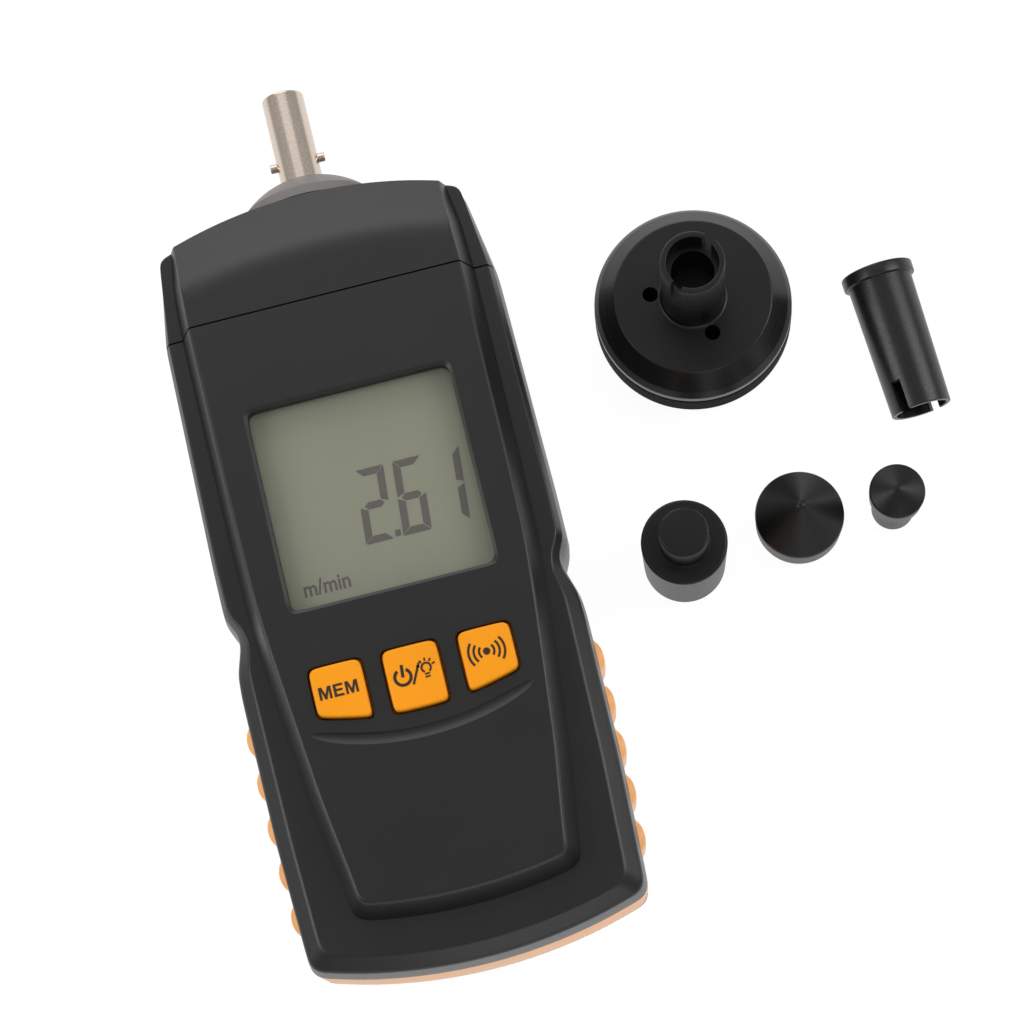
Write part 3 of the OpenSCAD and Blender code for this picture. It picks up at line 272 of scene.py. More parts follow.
def lathe(name, profile, steps=128):
    """A solid turned about Z through the origin. The profile is (radius, z) from the lower end up."""
    angles = np.linspace(0, 2 * math.pi, steps, endpoint=False)
    verts, rows = [], []
    for r, z in profile:
        if r < 1e-9:
            rows.append([len(verts)] * steps)
            verts.append((0, 0, z))
        else:
            rows.append(list(range(len(verts), len(verts) + steps)))
            verts += [(r * math.cos(a), r * math.sin(a), z) for a in angles]
    faces = []
    closed = list(zip(rows, rows[1:] + rows[:1]))
    if profile[0][0] < 1e-9:
        closed = closed[:-1]
    for low, high in closed:
        for i in range(steps):
            j = (i + 1) % steps
            face = [low[i], low[j], high[j], high[i]]
            face = [v for k, v in enumerate(face) if v not in face[:k]]
            if len(face) > 2:
                faces.append(face)
    return new_mesh(name, verts, faces)


def soft_lathe(name, corners, steps=128):
    """A lathe whose profile has soft corners: each row is radius, z and softening."""
    return lathe(name, [tuple(p) for p in soft_profile(corners, 4)], steps)


def boolean(target, cutter, operation="DIFFERENCE"):
    modifier = target.modifiers.new("cut", "BOOLEAN")
    modifier.object = cutter
    modifier.operation = operation
    modifier.solver = "EXACT"
    settle(target)
    bpy.data.objects.remove(cutter)
    return target


def settle(obj):
    """Applies an object's modifiers to its mesh."""
    depsgraph = bpy.context.evaluated_depsgraph_get()
    mesh = bpy.data.meshes.new_from_object(obj.evaluated_get(depsgraph))
    obj.modifiers.clear()
    old = obj.data
    mesh.name = old.name
    obj.data = mesh
    bpy.data.meshes.remove(old)
    return obj


def place(obj, move=(0, 0, 0), turn=None):
    matrix = Matrix.Translation(Vector(move) * MM)
    if turn is not None:
        matrix = matrix @ turn
    obj.data.transform(matrix)
    return obj


def finish_shading(obj, angle=32):
    """Smooth shading with sharp edges where the surface turns sharply, and flat faces kept flat."""
    bm = bmesh.new()
    bm.from_mesh(obj.data)
    bmesh.ops.remove_doubles(bm, verts=bm.verts, dist=2e-6)
    bmesh.ops.dissolve_degenerate(bm, edges=bm.edges, dist=1e-6)
    for face in bm.faces:
        face.smooth = True
    limit = math.radians(angle)
    for edge in bm.edges:
        edge.smooth = len(edge.link_faces) == 2 and edge.calc_face_angle(0) < limit
    bm.to_mesh(obj.data)
    bm.free()
    weighted = obj.modifiers.new("normals", "WEIGHTED_NORMAL")
    weighted.keep_sharp = True
    weighted.mode = "FACE_AREA"
    weighted.weight = 80
    return obj


def dress(obj, material, body, slot, *nodes):
    """Gives a piece its material and its body, and hides the nodes that it stands for. Its slot is not used."""
    obj.data.materials.clear()
    obj.data.materials.append(material)
    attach(obj, body)
    if nodes:
        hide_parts(*nodes)
    return obj


# Materials

class Nodes:
    """A small helper that adds shader nodes and links them."""

    def __init__(self, name):
        self.material = bpy.data.materials.new(name)
        self.material.use_nodes = True
        self.tree = self.material.node_tree
        self.tree.nodes.clear()
        self.out = self.add("ShaderNodeOutputMaterial")
        self.shader = self.add("ShaderNodeBsdfPrincipled")
        self.link(self.shader, "BSDF", self.out, "Surface")
        self.coords = self.add("ShaderNodeTexCoord")

    def add(self, kind, **values):
        node = self.tree.nodes.new(kind)
        for key, value in values.items():
            if key in node.inputs:
                node.inputs[key].default_value = value
            else:
                setattr(node, key, value)
        return node

    def link(self, a, out, b, into):
        self.tree.links.new(a.outputs[out], b.inputs[into])

    def noise(self, scale, detail=2.0, roughness=0.5, source=None):
        node = self.add("ShaderNodeTexNoise")
        node.inputs["Scale"].default_value = scale
        node.inputs["Detail"].default_value = detail
        node.inputs["Roughness"].default_value = roughness
        self.tree.links.new(source or self.coords.outputs["Object"], node.inputs["Vector"])
        return node.outputs["Fac"]

    def ramp(self, value, stops):
        node = self.add("ShaderNodeValToRGB")
        ramp = node.color_ramp
        while len(ramp.elements) < len(stops):
            ramp.elements.new(0.5)
        for element, (place_, colour) in zip(ramp.elements, stops):
            element.position = place_
            element.color = tuple(colour) + (1,) if len(colour) == 3 else colour
        self.tree.links.new(value, node.inputs["Fac"])
        return node.outputs["Color"]

    def spread(self, value, low, high, start=0.3, end=0.7):
        node = self.add("ShaderNodeMapRange")
        node.inputs["From Min"].default_value = start
        node.inputs["From Max"].default_value = end
        node.inputs["To Min"].default_value = low
        node.inputs["To Max"].default_value = high
        self.tree.links.new(value, node.inputs["Value"])
        return node.outputs["Result"]

    def maths(self, operation, a, b=None):
        node = self.add("ShaderNodeMath")
        node.operation = operation
        for socket, value in zip(node.inputs, (a, b)):
            if value is None:
                continue
            if isinstance(value, (int, float)):
                socket.default_value = value
            else:
                self.tree.links.new(value, socket)
        return node.outputs["Value"]

    def bump(self, height, strength, distance, normal=None):
        node = self.add("ShaderNodeBump")
        node.inputs["Strength"].default_value = strength
        node.inputs["Distance"].default_value = distance
        self.tree.links.new(height, node.inputs["Height"])
        if normal is not None:
            self.tree.links.new(normal, node.inputs["Normal"])
        return node.outputs["Normal"]

    def feed(self, into, value):
        socket = self.shader.inputs[into]
        if hasattr(value, "is_linked"):
            self.tree.links.new(value, socket)
        else:
            socket.default_value = value


def srgb(r, g, b):
    """A linear colour from 0 to 255 display values."""
    def lin(c):
        c /= 255
        return c / 12.92 if c <= 0.04045 else ((c + 0.055) / 1.055) ** 2.4
    return lin(r), lin(g), lin(b)


def shade(colour, factor):
    return tuple(c * factor for c in colour)


def mottled(name, colour, roughness, grain, depth, spread=0.12, metallic=0.0, specular=0.5):
    """A moulded or blasted surface: fine grain in its bump, and faint drift in colour and gloss."""
    m = Nodes(name)
    drift = m.noise(60, 3)
    fine = m.noise(grain, 2, 0.6)
    m.feed("Base Color", m.ramp(drift, [(0.3, shade(colour, 1 - spread)), (0.7, shade(colour, 1 + spread))]))
    m.feed("Roughness", m.spread(fine, roughness - 0.06, roughness + 0.06))
    m.feed("Normal", m.bump(fine, 0.6, depth))
    m.feed("Metallic", metallic)
    m.feed("Specular IOR Level", specular)
    return m.material


def turned(name, colour, roughness, centre, metallic=0.0, specular=0.5, depth=0.000004, fineness=9000):
    """A surface with fine rings round a vertical axis."""
    m = Nodes(name)
    shift = m.add("ShaderNodeVectorMath")
    shift.operation = "SUBTRACT"
    m.tree.links.new(m.coords.outputs["Object"], shift.inputs[0])
    shift.inputs[1].default_value = Vector(centre) * MM
    flat = m.add("ShaderNodeVectorMath")
    flat.operation = "MULTIPLY"
    m.tree.links.new(shift.outputs["Vector"], flat.inputs[0])
    flat.inputs[1].default_value = (1, 1, 0)
    length = m.add("ShaderNodeVectorMath")
    length.operation = "LENGTH"
    m.tree.links.new(flat.outputs["Vector"], length.inputs[0])
    parts = m.add("ShaderNodeSeparateXYZ")
    m.tree.links.new(shift.outputs["Vector"], parts.inputs["Vector"])
    join = m.add("ShaderNodeCombineXYZ")
    m.tree.links.new(length.outputs["Value"], join.inputs["X"])
    m.tree.links.new(parts.outputs["Z"], join.inputs["Y"])
    rings = m.noise(fineness, 2, 0.5, join.outputs["Vector"])
    drift = m.noise(120, 2)
    m.feed("Base Color", m.ramp(drift, [(0.3, shade(colour, 0.88)), (0.7, shade(colour, 1.12))]))
    m.feed("Roughness", m.spread(rings, roughness - 0.07, roughness + 0.07))
    m.feed("Normal", m.bump(rings, 0.5, depth))
    m.feed("Metallic", metallic)
    m.feed("Specular IOR Level", specular)
    return m.material


shell_black = mottled("shell_black", srgb(25, 25, 25), 0.38, 5200, 0.000008, 0.12, 0.0, 0.5)
grip_orange = mottled("grip_orange", srgb(255, 180, 104), 0.38, 4200, 0.000004, 0.05, 0.0, 0.7)
key_orange = mottled("key_orange", srgb(255, 160, 18), 0.42, 3800, 0.000004, 0.04, 0.0, 0.25)
mark_black = mottled("mark_black", srgb(40, 26, 16), 0.6, 3000, 0.000002, 0.05)
collar_grey = mottled("collar_grey", srgb(128, 124, 122), 0.5, 6000, 0.000004, 0.06, 0.25)
adapter_black = turned("adapter_black", srgb(15, 15, 15), 0.33, (56.15, 34.7, 0), 0.0, 0.4, 0.000001)
tube_black = mottled("tube_black", srgb(20, 20, 22), 0.33, 2500, 0.0000004, 0.08)
tyre_black = mottled("tyre_black", srgb(13, 13, 12), 0.75, 3000, 0.000006, 0.1, 0.0, 0.1)
tip_black = mottled("tip_black", srgb(12, 12, 11), 0.42, 3600, 0.000005, 0.14, 0.0, 0.35)
spindle_nickel = mottled("spindle_nickel", srgb(214, 200, 186), 0.26, 4000, 0.0000001, 0.02, 1.0)
bearing_steel = mottled("bearing_steel", srgb(200, 200, 202), 0.25, 3000, 0.000002, 0.04, 1.0)
screw_zinc = mottled("screws_zinc", srgb(180, 180, 184), 0.3, 3000, 0.000003, 0.06, 1.0)
pins_gold = mottled("pins_gold", srgb(226, 190, 110), 0.25, 3000, 0.000002, 0.05, 1.0)
contacts_nickel = mottled("contacts_nickel", srgb(200, 196, 184), 0.3, 3000, 0.000003, 0.06, 1.0)
inner_black = mottled("inner_black", srgb(28, 28, 29), 0.5, 3000, 0.000005, 0.1)
disc_dark = mottled("disc_dark", srgb(45, 45, 50), 0.35, 3000, 0.000002, 0.1)
diffuser_white = mottled("diffuser_white", srgb(238, 238, 232), 0.4, 2000, 0.000002, 0.03)
elastomer_pink = mottled("elastomer_pink", srgb(205, 140, 146), 0.55, 3000, 0.000004, 0.08)
board_green = mottled("board_green", srgb(28, 92, 58), 0.35, 1800, 0.000004, 0.12)
mat_grey = mottled("mat_grey", srgb(150, 150, 150), 0.6, 3000, 0.000006, 0.06)
cell_wrap = mottled("cell_wrap", srgb(70, 84, 110), 0.3, 2500, 0.000002, 0.06)
lcd_green = mottled("lcd", srgb(147, 149, 128), 0.4, 2500, 0.0000003, 0.02)
segment_dark = mottled("segment_dark", srgb(86, 80, 78), 0.7, 2500, 0.0000003, 0.03)


def window_material():
    m = Nodes("window_clear")
    smudge = m.noise(90, 3)
    m.feed("Base Color", (0.35, 0.36, 0.32, 1))
    m.feed("Roughness", m.spread(smudge, 0.03, 0.09))
    m.feed("Alpha", 0.035)
    return m.material


window_clear = window_material()

CAD_MATERIALS = {
    "display_window": window_clear, "lcd_frame": inner_black, "lcd_glass": lcd_green,
    "lcd_backlight": diffuser_white, "lcd_connector": elastomer_pink, "circuit_board": board_green,
    "board_parts": inner_black, "board_screws": screw_zinc, "keypad_mat": mat_grey,
    "spindle_housing": collar_grey, "front_bearing": bearing_steel, "rear_bearing": bearing_steel,
    "spindle": spindle_nickel, "drive_pin": spindle_nickel, "encoder_disc": disc_dark,
    "retaining_clip": bearing_steel, "sensor_board": board_green, "photo_interrupter": inner_black,
    "sensor_pins": pins_gold, "sensor_screws": screw_zinc, "cell_left": cell_wrap,
    "cell_middle": cell_wrap, "cell_right": cell_wrap, "battery_contacts": contacts_nickel,
    "case_screws": screw_zinc,
}
for node_name, material in CAD_MATERIALS.items():
    node = frame["nodes"][node_name]
    node.data.materials.clear()
    node.data.materials.append(material)

# Housing forms
BODY = body_rows()
PLATEAU = plateau_rows()
BEVELS = np.array([r[3] for r in BODY]) * EDGE_RUN


def body_ring(inset, bevel, z):
    return lift(outline(BODY, inset + bevel * BEVELS), z)


def upper_body():
    """The front half of the housing without its plateau."""
    corners = [
        (-FLARE, 0, PARTING_Z, 0), (-FLARE * 0.85, 0, GRIP_Z1, 1.5), (0, 0, SHOULDER_Z - EDGE_DROP, 0.45),
        (0, 1, SHOULDER_Z, 0.3), (0.8, 1, SHOULDER_Z, 0)]
    return loft("upper_body", [body_ring(a, b, z) for a, b, z in soft_profile(corners)])


def slope_z(x, y):
    """Height of the sloping nose, with a soft start."""
    t = np.hypot(x, y - (SLOPE_Y - SLOPE_R)) - SLOPE_R
    blend = (t + SLOPE_SOFT) ** 2 / (4 * SLOPE_SOFT)
    return BODY_T - np.where(t < -SLOPE_SOFT, 0, np.where(t > SLOPE_SOFT, t, blend)) / SLOPE_PITCH


def plateau():
    corners = [(0, SHOULDER_ROOF_Z, 0), (0, SHOULDER_Z, 0), (PLATEAU_RUN, BODY_T, 0.55), (PLATEAU_RUN + 1.0, BODY_T, 0)]
    obj = loft("plateau", [lift(outline(PLATEAU, d), z) for d, z in soft_profile(corners, 6)])
    bm = bmesh.new()
    bm.from_mesh(obj.data)
    cuts = (((0, 1, 0), 44.0, 66.0, 0.7), ((1, 0, 0), -20.0, 20.1, 1.0),
            ((1, 0, 0), 20.25, 24.5, 0.25), ((1, 0, 0), -24.5, -20.0, 0.25))
    for axis, start, stop, step in cuts:
        for cut in np.arange(start, stop, step):
            faces = [f for f in bm.faces if f.calc_center_bounds().y > 43.0 * MM or f.calc_area() > 1e-4]
            edges = {e for f in faces for e in f.edges}
            verts = {v for f in faces for v in f.verts}
            bmesh.ops.bisect_plane(bm, geom=list(verts) + list(edges) + faces, dist=1e-7,
                                   plane_co=Vector(axis) * float(cut) * MM, plane_no=axis)
    for v in bm.verts:
        if v.co.y > 43.0 * MM:
            v.co.z = min(v.co.z, float(slope_z(v.co.x / MM, v.co.y / MM)) * MM)
    bm.to_mesh(obj.data)
    bm.free()
    return boolean(obj, prism("nose_trim", BODY, 0.08, PARTING_Z, BODY_T + 1), "INTERSECT")


def prism(name, rows, inset, z0, z1):
    points = outline(rows, inset)
    return loft(name, [lift(points, z0), lift(points, z1)])


def flared_prism(name, rows, inset, z0, z1, drop, run):
    """A cutter that opens out at its top, so that the edge it leaves has a small bevel."""
    rings = [lift(outline(rows, inset), z0), lift(outline(rows, inset), z1 - drop),
             lift(outline(rows, inset - run * 2), z1 + drop)]
    return loft(name, rings)


def tail_paths(inset, y_top, step):
    """The edge line round the tail from the left grip end to the right one, and the same line moved in."""
    base = outline(BODY)
    inner = outline(BODY, inset)
    order = np.argsort(np.arctan2(base[:, 0], -base[:, 1]))
    both = np.c_[base, inner][order]
    low = np.nonzero(both[:, 1] < y_top)[0]
    both = both[low[0] - 1:low[-1] + 2]
    for end, beside in ((0, 1), (-1, -2)):
        share = (y_top - both[beside, 1]) / (both[end, 1] - both[beside, 1])
        both[end] = both[beside] + (both[end] - both[beside]) * share
        both[end, 3] = y_top
    gaps = np.r_[0, np.cumsum(np.linalg.norm(np.diff(both[:, :2], axis=0), axis=1))]
    at = np.linspace(0, gaps[-1], max(2, round(gaps[-1] / step)))
    both = np.array([np.interp(at, gaps, column) for column in both.T]).T
    return both[:, :2], both[:, 2:]


def grip_strip(name, inset, outer, levels, y_top, step):
    """A strip round the tail between an inset and an outer offset that varies with place and height."""
    base, inner = tail_paths(inset, y_top, step)
    tangent = np.gradient(base, axis=0)
    tangent /= np.linalg.norm(tangent, axis=1)[:, None]
    normal = np.c_[tangent[:, 1], -tangent[:, 0]]
    normal[0] = (-1, 0)
    normal[-1] = (1, 0)
    rings = []
    for p, n, q in zip(base, normal, inner):
        cross = [(*(p + n * outer(p, z)), z) for z in levels]
        cross += [(*q, z) for z in levels[::-1]]
        rings.append(np.array(cross))
    return loft(name, rings)


def wall_offset(z):
    """How far the side wall stands out of the edge line at a height."""
    return float(np.interp(z, [3, GRIP_Z0, PARTING_Z, GRIP_Z1, SHOULDER_Z - EDGE_DROP],
                           [-0.7, 0.65 * FLARE, FLARE, 0.85 * FLARE, 0]))


def grip_groove():
    return grip_strip("grip_groove", GRIP_D + 0.05, lambda p, z: 4.0, (GRIP_Z0, GRIP_Z1), GRIP_Y, 1.0)


def rib_shape(y):
    """Height of the ribs along the side, from 0 to 1."""
    best = 0.0
    for i in range(RIB_COUNT):
        t = abs(y - (GRIP_Y - RIB_PITCH * (i + 1))) / (RIB_L / 2)
        if t < 1:
            best = max(best, (1 - t * t) ** 0.7)
    return best


def grip_band():
    def outer(p, z):
        end = min(z - GRIP_Z0, GRIP_Z1 - z)
        soft = min(1.0, end / 0.5)
        edge = 0.35 * (1 - math.sqrt(max(0.0, 1 - (1 - soft) ** 2)))
        fade = min(1.0, max(0.0, (end - 0.7) / 0.8))
        fade = fade * fade * (3 - 2 * fade)
        side = min(1.0, max(0.0, (abs(p[0]) - 20) / 3))
        return wall_offset(z) - GRIP_SINK - edge + RIB_H * rib_shape(p[1]) * fade * side
    low, high = GRIP_Z0 + 0.05, GRIP_Z1 - 0.05
    ends = np.array([0, 0.06, 0.15, 0.3, 0.5, 0.7, 0.9, 1.1, 1.3, 1.5])
    levels = tuple(np.r_[low + ends, np.linspace(low + 2.2, high - 2.2, 8), (high - ends)[::-1]])
    return grip_strip("grip_band_rubber", GRIP_D, outer, levels, GRIP_Y - 0.08, 0.4)


def window_rows(extra=0.0):
    w, l, soft = WINDOW_W / 2 + extra, WINDOW_L / 2 + extra, 1.6
    return [(-w, WINDOW_Y - l, soft), (w, WINDOW_Y - l, soft), (w, WINDOW_Y + l, soft), (-w, WINDOW_Y + l, soft)]


KEY_HALF = MID_KEY_W / 2 + KEY_GAP + KEY_W


def key_rows(x0, x1):
    xs = np.linspace(x0, x1, 5)
    lower = [(x, KEY_LOW_Y + rise(x, KEY_HALF, KEY_SAG), 0) for x in xs]
    lower[0] = lower[0][:2] + (KEY_SOFT,)
    lower[-1] = lower[-1][:2] + (KEY_SOFT,)
    return lower + [(x1, KEY_TOP_Y, KEY_SOFT), (x0, KEY_TOP_Y, KEY_SOFT)]


KEYS = {
    "memory_key": (-KEY_HALF, -KEY_HALF + KEY_W),
    "power_key": (-MID_KEY_W / 2, MID_KEY_W / 2),
    "signal_key": (KEY_HALF - KEY_W, KEY_HALF),
}


def crescent():
    """A cutter for the curved groove below the keys: steep on its upper side, gently rising on its lower one."""
    half, sag, low, width, depth, over = 17.0, 3.4, KEY_LOW_Y - 3.4, 1.8, 0.4, 0.6
    rings = []
    for s in np.linspace(-1, 1, 65):
        x = s * half
        y = low + rise(x, half, sag)
        size = max(0.02, 1 - s ** 6) ** 0.5
        side = unit(vec(-2 * sag * x / half ** 2, 1))
        w, d = width * size, depth * size
        profile = [(-w / 2, over), (-w / 2, 0), (-w / 4, -d * 0.45), (w * 0.1, -d), (w * 0.35, -d * 0.8),
                   (w / 2, 0), (w / 2, over)]
        rings.append(np.array([(*(vec(x, y) + side * across), BODY_T + z) for across, z in profile]))
    return loft("crescent", rings)


def crisp_outlines(obj, low, high):
    """Keep the edges in a region sharp, however gently the surface turns there."""
    for edge in obj.data.edges:
        ends = [obj.data.vertices[v].co / MM for v in edge.vertices]
        if all(low[k] < end[k] < high[k] for end in ends for k in range(3)):
            edge.use_edge_sharp = True


def housing_front():
    """The front shell and the nose cap."""
    form = boolean(upper_body(), plateau(), "UNION")
    for name, y0, y1, node in (("front_shell", -90, SEAM_Y - SEAM_GAP / 2, "front_shell"),
                               ("nose_cap", SEAM_Y + SEAM_GAP / 2, 90, "nose_cap")):
        obj = bpy.data.objects.new(name + "_skin", form.data.copy())
        bpy.context.scene.collection.objects.link(obj)
        boolean(obj, box_mesh("half", (-60, y0, 0), (60, y1, 60)), "INTERSECT")
        boolean(obj, prism("hollow", BODY, WALL, PARTING_Z - 2, SHOULDER_ROOF_Z))
        if node == "front_shell":
            boolean(obj, prism("hollow", PLATEAU, PLATEAU_RUN + 1.5, PARTING_Z, ROOF_Z))
            boolean(obj, flared_prism("window_cut", window_rows(), 0, 28, BODY_T, 0.24, 0.5))
            for x0, x1 in KEYS.values():
                boolean(obj, flared_prism("key_cut", key_rows(x0, x1), -MOVE_GAP, 28, BODY_T, 0.1, 0.1))
            boolean(obj, crescent())
            boolean(obj, grip_groove())
        else:
            boolean(obj, rod("sleeve_cut", 8.25, (0, 40, 16.5), (0, 70, 16.5), 96))
        finish_shading(obj)
        crisp_outlines(obj, (-17.4, -31, BODY_T - 0.02), (17.4, 30, BODY_T + 0.02))
        dress(obj, shell_black, "housing", "shell_black", node)
    bpy.data.objects.remove(form)


def lower_form(name):
    corners = [
        (3.2 + 1.5, 0.0, 0), (3.2, 0.0, 0.35), (2.0, 0.8, 0.3), (0.7, 3.0, 0.9), (-0.65 * FLARE, GRIP_Z0, 1.2),
        (-FLARE, PARTING_Z, 0)]
    return loft(name, [lift(outline(BODY, d), z) for d, z in soft_profile(corners)])


CELL_PITCH = 11.2
BAY_HALF = 17.0
BAY_Y1 = -8.0
BAY_Y0 = -55.4
BAY_WALL = 1.2
BAY_ROOF_Z = 13.35
DOOR_HALF = 16.9
TONGUE_HALF = 18.1
DOOR_FACE_T = 1.15
TONGUE_T = 1.1
GROOVE_TOP_Z = 2.4
FLOOR_T = 2.2
SCREWS = ((18.5, 50.5), (-18.5, 50.5), (20.8, -10.0), (-20.8, -10.0))


def housing_rear():
    obj = lower_form("back_shell_skin")
    boolean(obj, prism("hollow", BODY, 3.4, FLOOR_T, PARTING_Z + 2))
    block = box_mesh("bay_block", (-19.3, -59, FLOOR_T - 0.05), (19.3, BAY_Y1 + BAY_WALL, 14.5))
    boolean(block, prism("inside", BODY, WALL, 0, 20), "INTERSECT")
    boolean(obj, block, "UNION")
    bay = box_mesh("bay", (-BAY_HALF, BAY_Y0, -2), (BAY_HALF, BAY_Y1, BAY_ROOF_Z))
    for s in (-1, 1):
        x = s * CELL_PITCH / 2
        boolean(bay, box_mesh("rib", (x - 0.5, BAY_Y0 - 1, BAY_ROOF_Z - 3), (x + 0.5, BAY_Y1 + 1, BAY_ROOF_Z + 1)))
    boolean(obj, bay)
    boolean(obj, box_mesh("face_cut", (-DOOR_HALF - MOVE_GAP, -90, -2),
                          (DOOR_HALF + MOVE_GAP, BAY_Y1 + MOVE_GAP, DOOR_FACE_T)))
    boolean(obj, box_mesh("tongue_cut", (-TONGUE_HALF - 0.15, -90, DOOR_FACE_T - 0.15),
                          (TONGUE_HALF + 0.15, BAY_Y1 + MOVE_GAP, GROOVE_TOP_Z)))
    boolean(obj, grip_groove())
    for x, y in SCREWS:
        boolean(obj, rod("head_cut", 2.3, (x, y, -2), (x, y, 2.45)))
    dress(finish_shading(obj), shell_black, "housing", "shell_black", "back_shell")


def battery_door():
    obj = lower_form("battery_door_skin")
    wide = box_mesh("wide", (-TONGUE_HALF, -90, DOOR_FACE_T), (TONGUE_HALF, BAY_Y1, DOOR_FACE_T + TONGUE_T))
    shape = box_mesh("narrow", (-DOOR_HALF, -90, -1), (DOOR_HALF, BAY_Y1, DOOR_FACE_T + TONGUE_T))
    boolean(shape, wide, "UNION")
    boolean(obj, shape, "INTERSECT")
    for i in range(1, 6):
        y = BAY_Y1 - 3.6 - i * 1.8
        boolean(obj, rod("thumb", 0.5, (-7, y + 0.45, -0.1), (7, y + 0.45, -0.1), 24))
    dress(finish_shading(obj), shell_black, "battery_door", "shell_black", "battery_door")


def keys():
    for name, (x0, x1) in KEYS.items():
        rows = key_rows(x0, x1)
        rim_z = ROOF_Z - 0.05 - 1
        corners = [(0, rim_z, 0), (0.04, KEY_TOP_Z, 0.45), (2.2, KEY_TOP_Z + 0.04, 0)]
        obj = loft(name + "_cap", [lift(outline(rows, d), z) for d, z in soft_profile(corners, 7)])
        rim = prism("rim", rows, -0.8, rim_z, rim_z + 1)
        boolean(obj, rim, "UNION")
        x = (x0 + x1) / 2
        y = (KEY_TOP_Y + KEY_LOW_Y) / 2
        boolean(obj, rod("stem", 2.2, (x, y, 27.6), (x, y, rim_z + 0.5)), "UNION")
        dress(finish_shading(obj), key_orange, name, "key_orange", name)


housing_front()
housing_rear()
battery_door()
keys()
dress(finish_shading(grip_band()), grip_orange, "housing", "grip_orange", "grip_band")


# Adapters

def wheel():
    x, y = 56.15, 34.7
    disc = soft_lathe("wheel_disc_turned", [
        (0, 0, 0), (15.0, 0, 0.2), (15.0, 0.9, 0), (13.8, 0.9, 0), (13.8, 6.17, 0), (15.865, 6.17, 0.2),
        (15.865, 7.7, 0.15), (15.15, 8.9, 0.12), (12.6, 11.9, 0.2), (5.05, 11.9, 0.6), (5.05, 29.5, 0.25),
        (4.1, 29.5, 0.15), (4.1, 24.5, 0), (3.43, 24.5, 0.05), (3.43, 16.1, 0), (0, 16.1, 0)], 192)
    turn = math.radians(43)
    for i in range(3):
        a = turn + i * 2 * math.pi / 3
        boolean(disc, rod("hole", 1.25, (6.8 * math.cos(a), 6.8 * math.sin(a), 3.9),
                          (6.8 * math.cos(a), 6.8 * math.sin(a), 13), 40))
    slot_cut = box_mesh("slot", (-8, -0.85, 24.53), (8, 0.85, 31))
    place(slot_cut, turn=Matrix.Rotation(turn, 4, "Z"))
    boolean(disc, slot_cut)
    place(disc, (x, y, 0))
    dress(finish_shading(disc), adapter_black, "surface_wheel", "adapter_black", "wheel_disc")
    tyre = soft_lathe("wheel_tyre_ring", [
        (13.85, 0.9, 0), (15.915, 0.9, 0.7), (15.915, 5.9, 0.3), (13.85, 5.9, 0)], 192)
    place(tyre, (x, y, 0))
    dress(finish_shading(tyre), tyre_black, "surface_wheel", "tyre_black", "wheel_tyre")


def tube():
    end_r, root_r, flange_r, length, flange_t = 4.85, 5.25, 5.85, 23.9, 2.0
    lean = math.atan((flange_r - end_r) / (length - flange_t))
    mid_z = end_r * math.cos(lean) + length / 2 * math.sin(lean)
    body = soft_lathe("extension_tube_turned", [
        (3.94, 0, 0.15), (flange_r, 0, 0.3), (flange_r, flange_t, 0.3), (root_r - 0.03, flange_t, 0.15),
        (end_r, length, 0.2), (4.1, length, 0.12), (4.1, length - 5, 0), (3.43, length - 5, 0),
        (3.43, length - 13.4, 0), (0.001, length - 13.4, 0), (0.001, 6.6, 0), (3.94, 6.6, 0)], 160)
    slot_cut = box_mesh("slot", (-8, -0.85, length - 4.97), (8, 0.85, length + 2))
    place(slot_cut, turn=Matrix.Rotation(math.radians(130), 4, "Z"))
    boolean(body, slot_cut)
    place(body, (0, 0, -length / 2))
    turn = Matrix.Rotation(math.radians(2.6), 4, "Z") @ Matrix.Rotation(math.pi / 2 + lean, 4, "X")
    place(body, (86.7, 21.15, mid_z), turn)
    dress(finish_shading(body), tube_black, "extension_tube", "adapter_black", "extension_tube")


def tips():
    funnel = soft_lathe("funnel_tip_rubber", [
        (0, 5, 0), (5.2, 0.0, 0.2), (6.5, 0, 0.3), (6.77, 15.4, 0.5), (3.9, 15.4, 0.2), (3.9, 22.2, 0.4), (0, 22.2, 0)])
    dress(finish_shading(place(funnel, (44.65, -4.6, 0))), tip_black, "funnel_tip", "tip_black", "funnel_tip")
    cone = soft_lathe("large_cone_tip_rubber", [
        (0, 0, 0), (3.9, 0, 0.4), (3.9, 5, 0.1), (6.8, 5, 0.4), (7.0, 10.5, 0.4), (0.6, 17.4, 0.5), (0, 17.5, 0)])
    dress(finish_shading(place(cone, (63.5, -3.8, 0))), tip_black, "large_cone_tip", "tip_black", "large_cone_tip")
    point = soft_lathe("small_cone_tip_rubber", [
        (0, 0, 0), (3.38, 0, 0.4), (3.38, 8.6, 0.1), (4.2, 8.6, 0.3), (4.4, 12.6, 0.35), (0.5, 14.55, 0.4), (0, 14.6, 0)])
    dress(finish_shading(place(point, (79, -4.4, 0))), tip_black, "small_cone_tip", "tip_black", "small_cone_tip")


SPINDLE_Z = 16.5


def lathe_along_spindle(name, corners, steps=160):
    obj = soft_lathe(name, corners, steps)
    place(obj, (0, 0, SPINDLE_Z), Matrix.Rotation(-math.pi / 2, 4, "X"))
    return obj


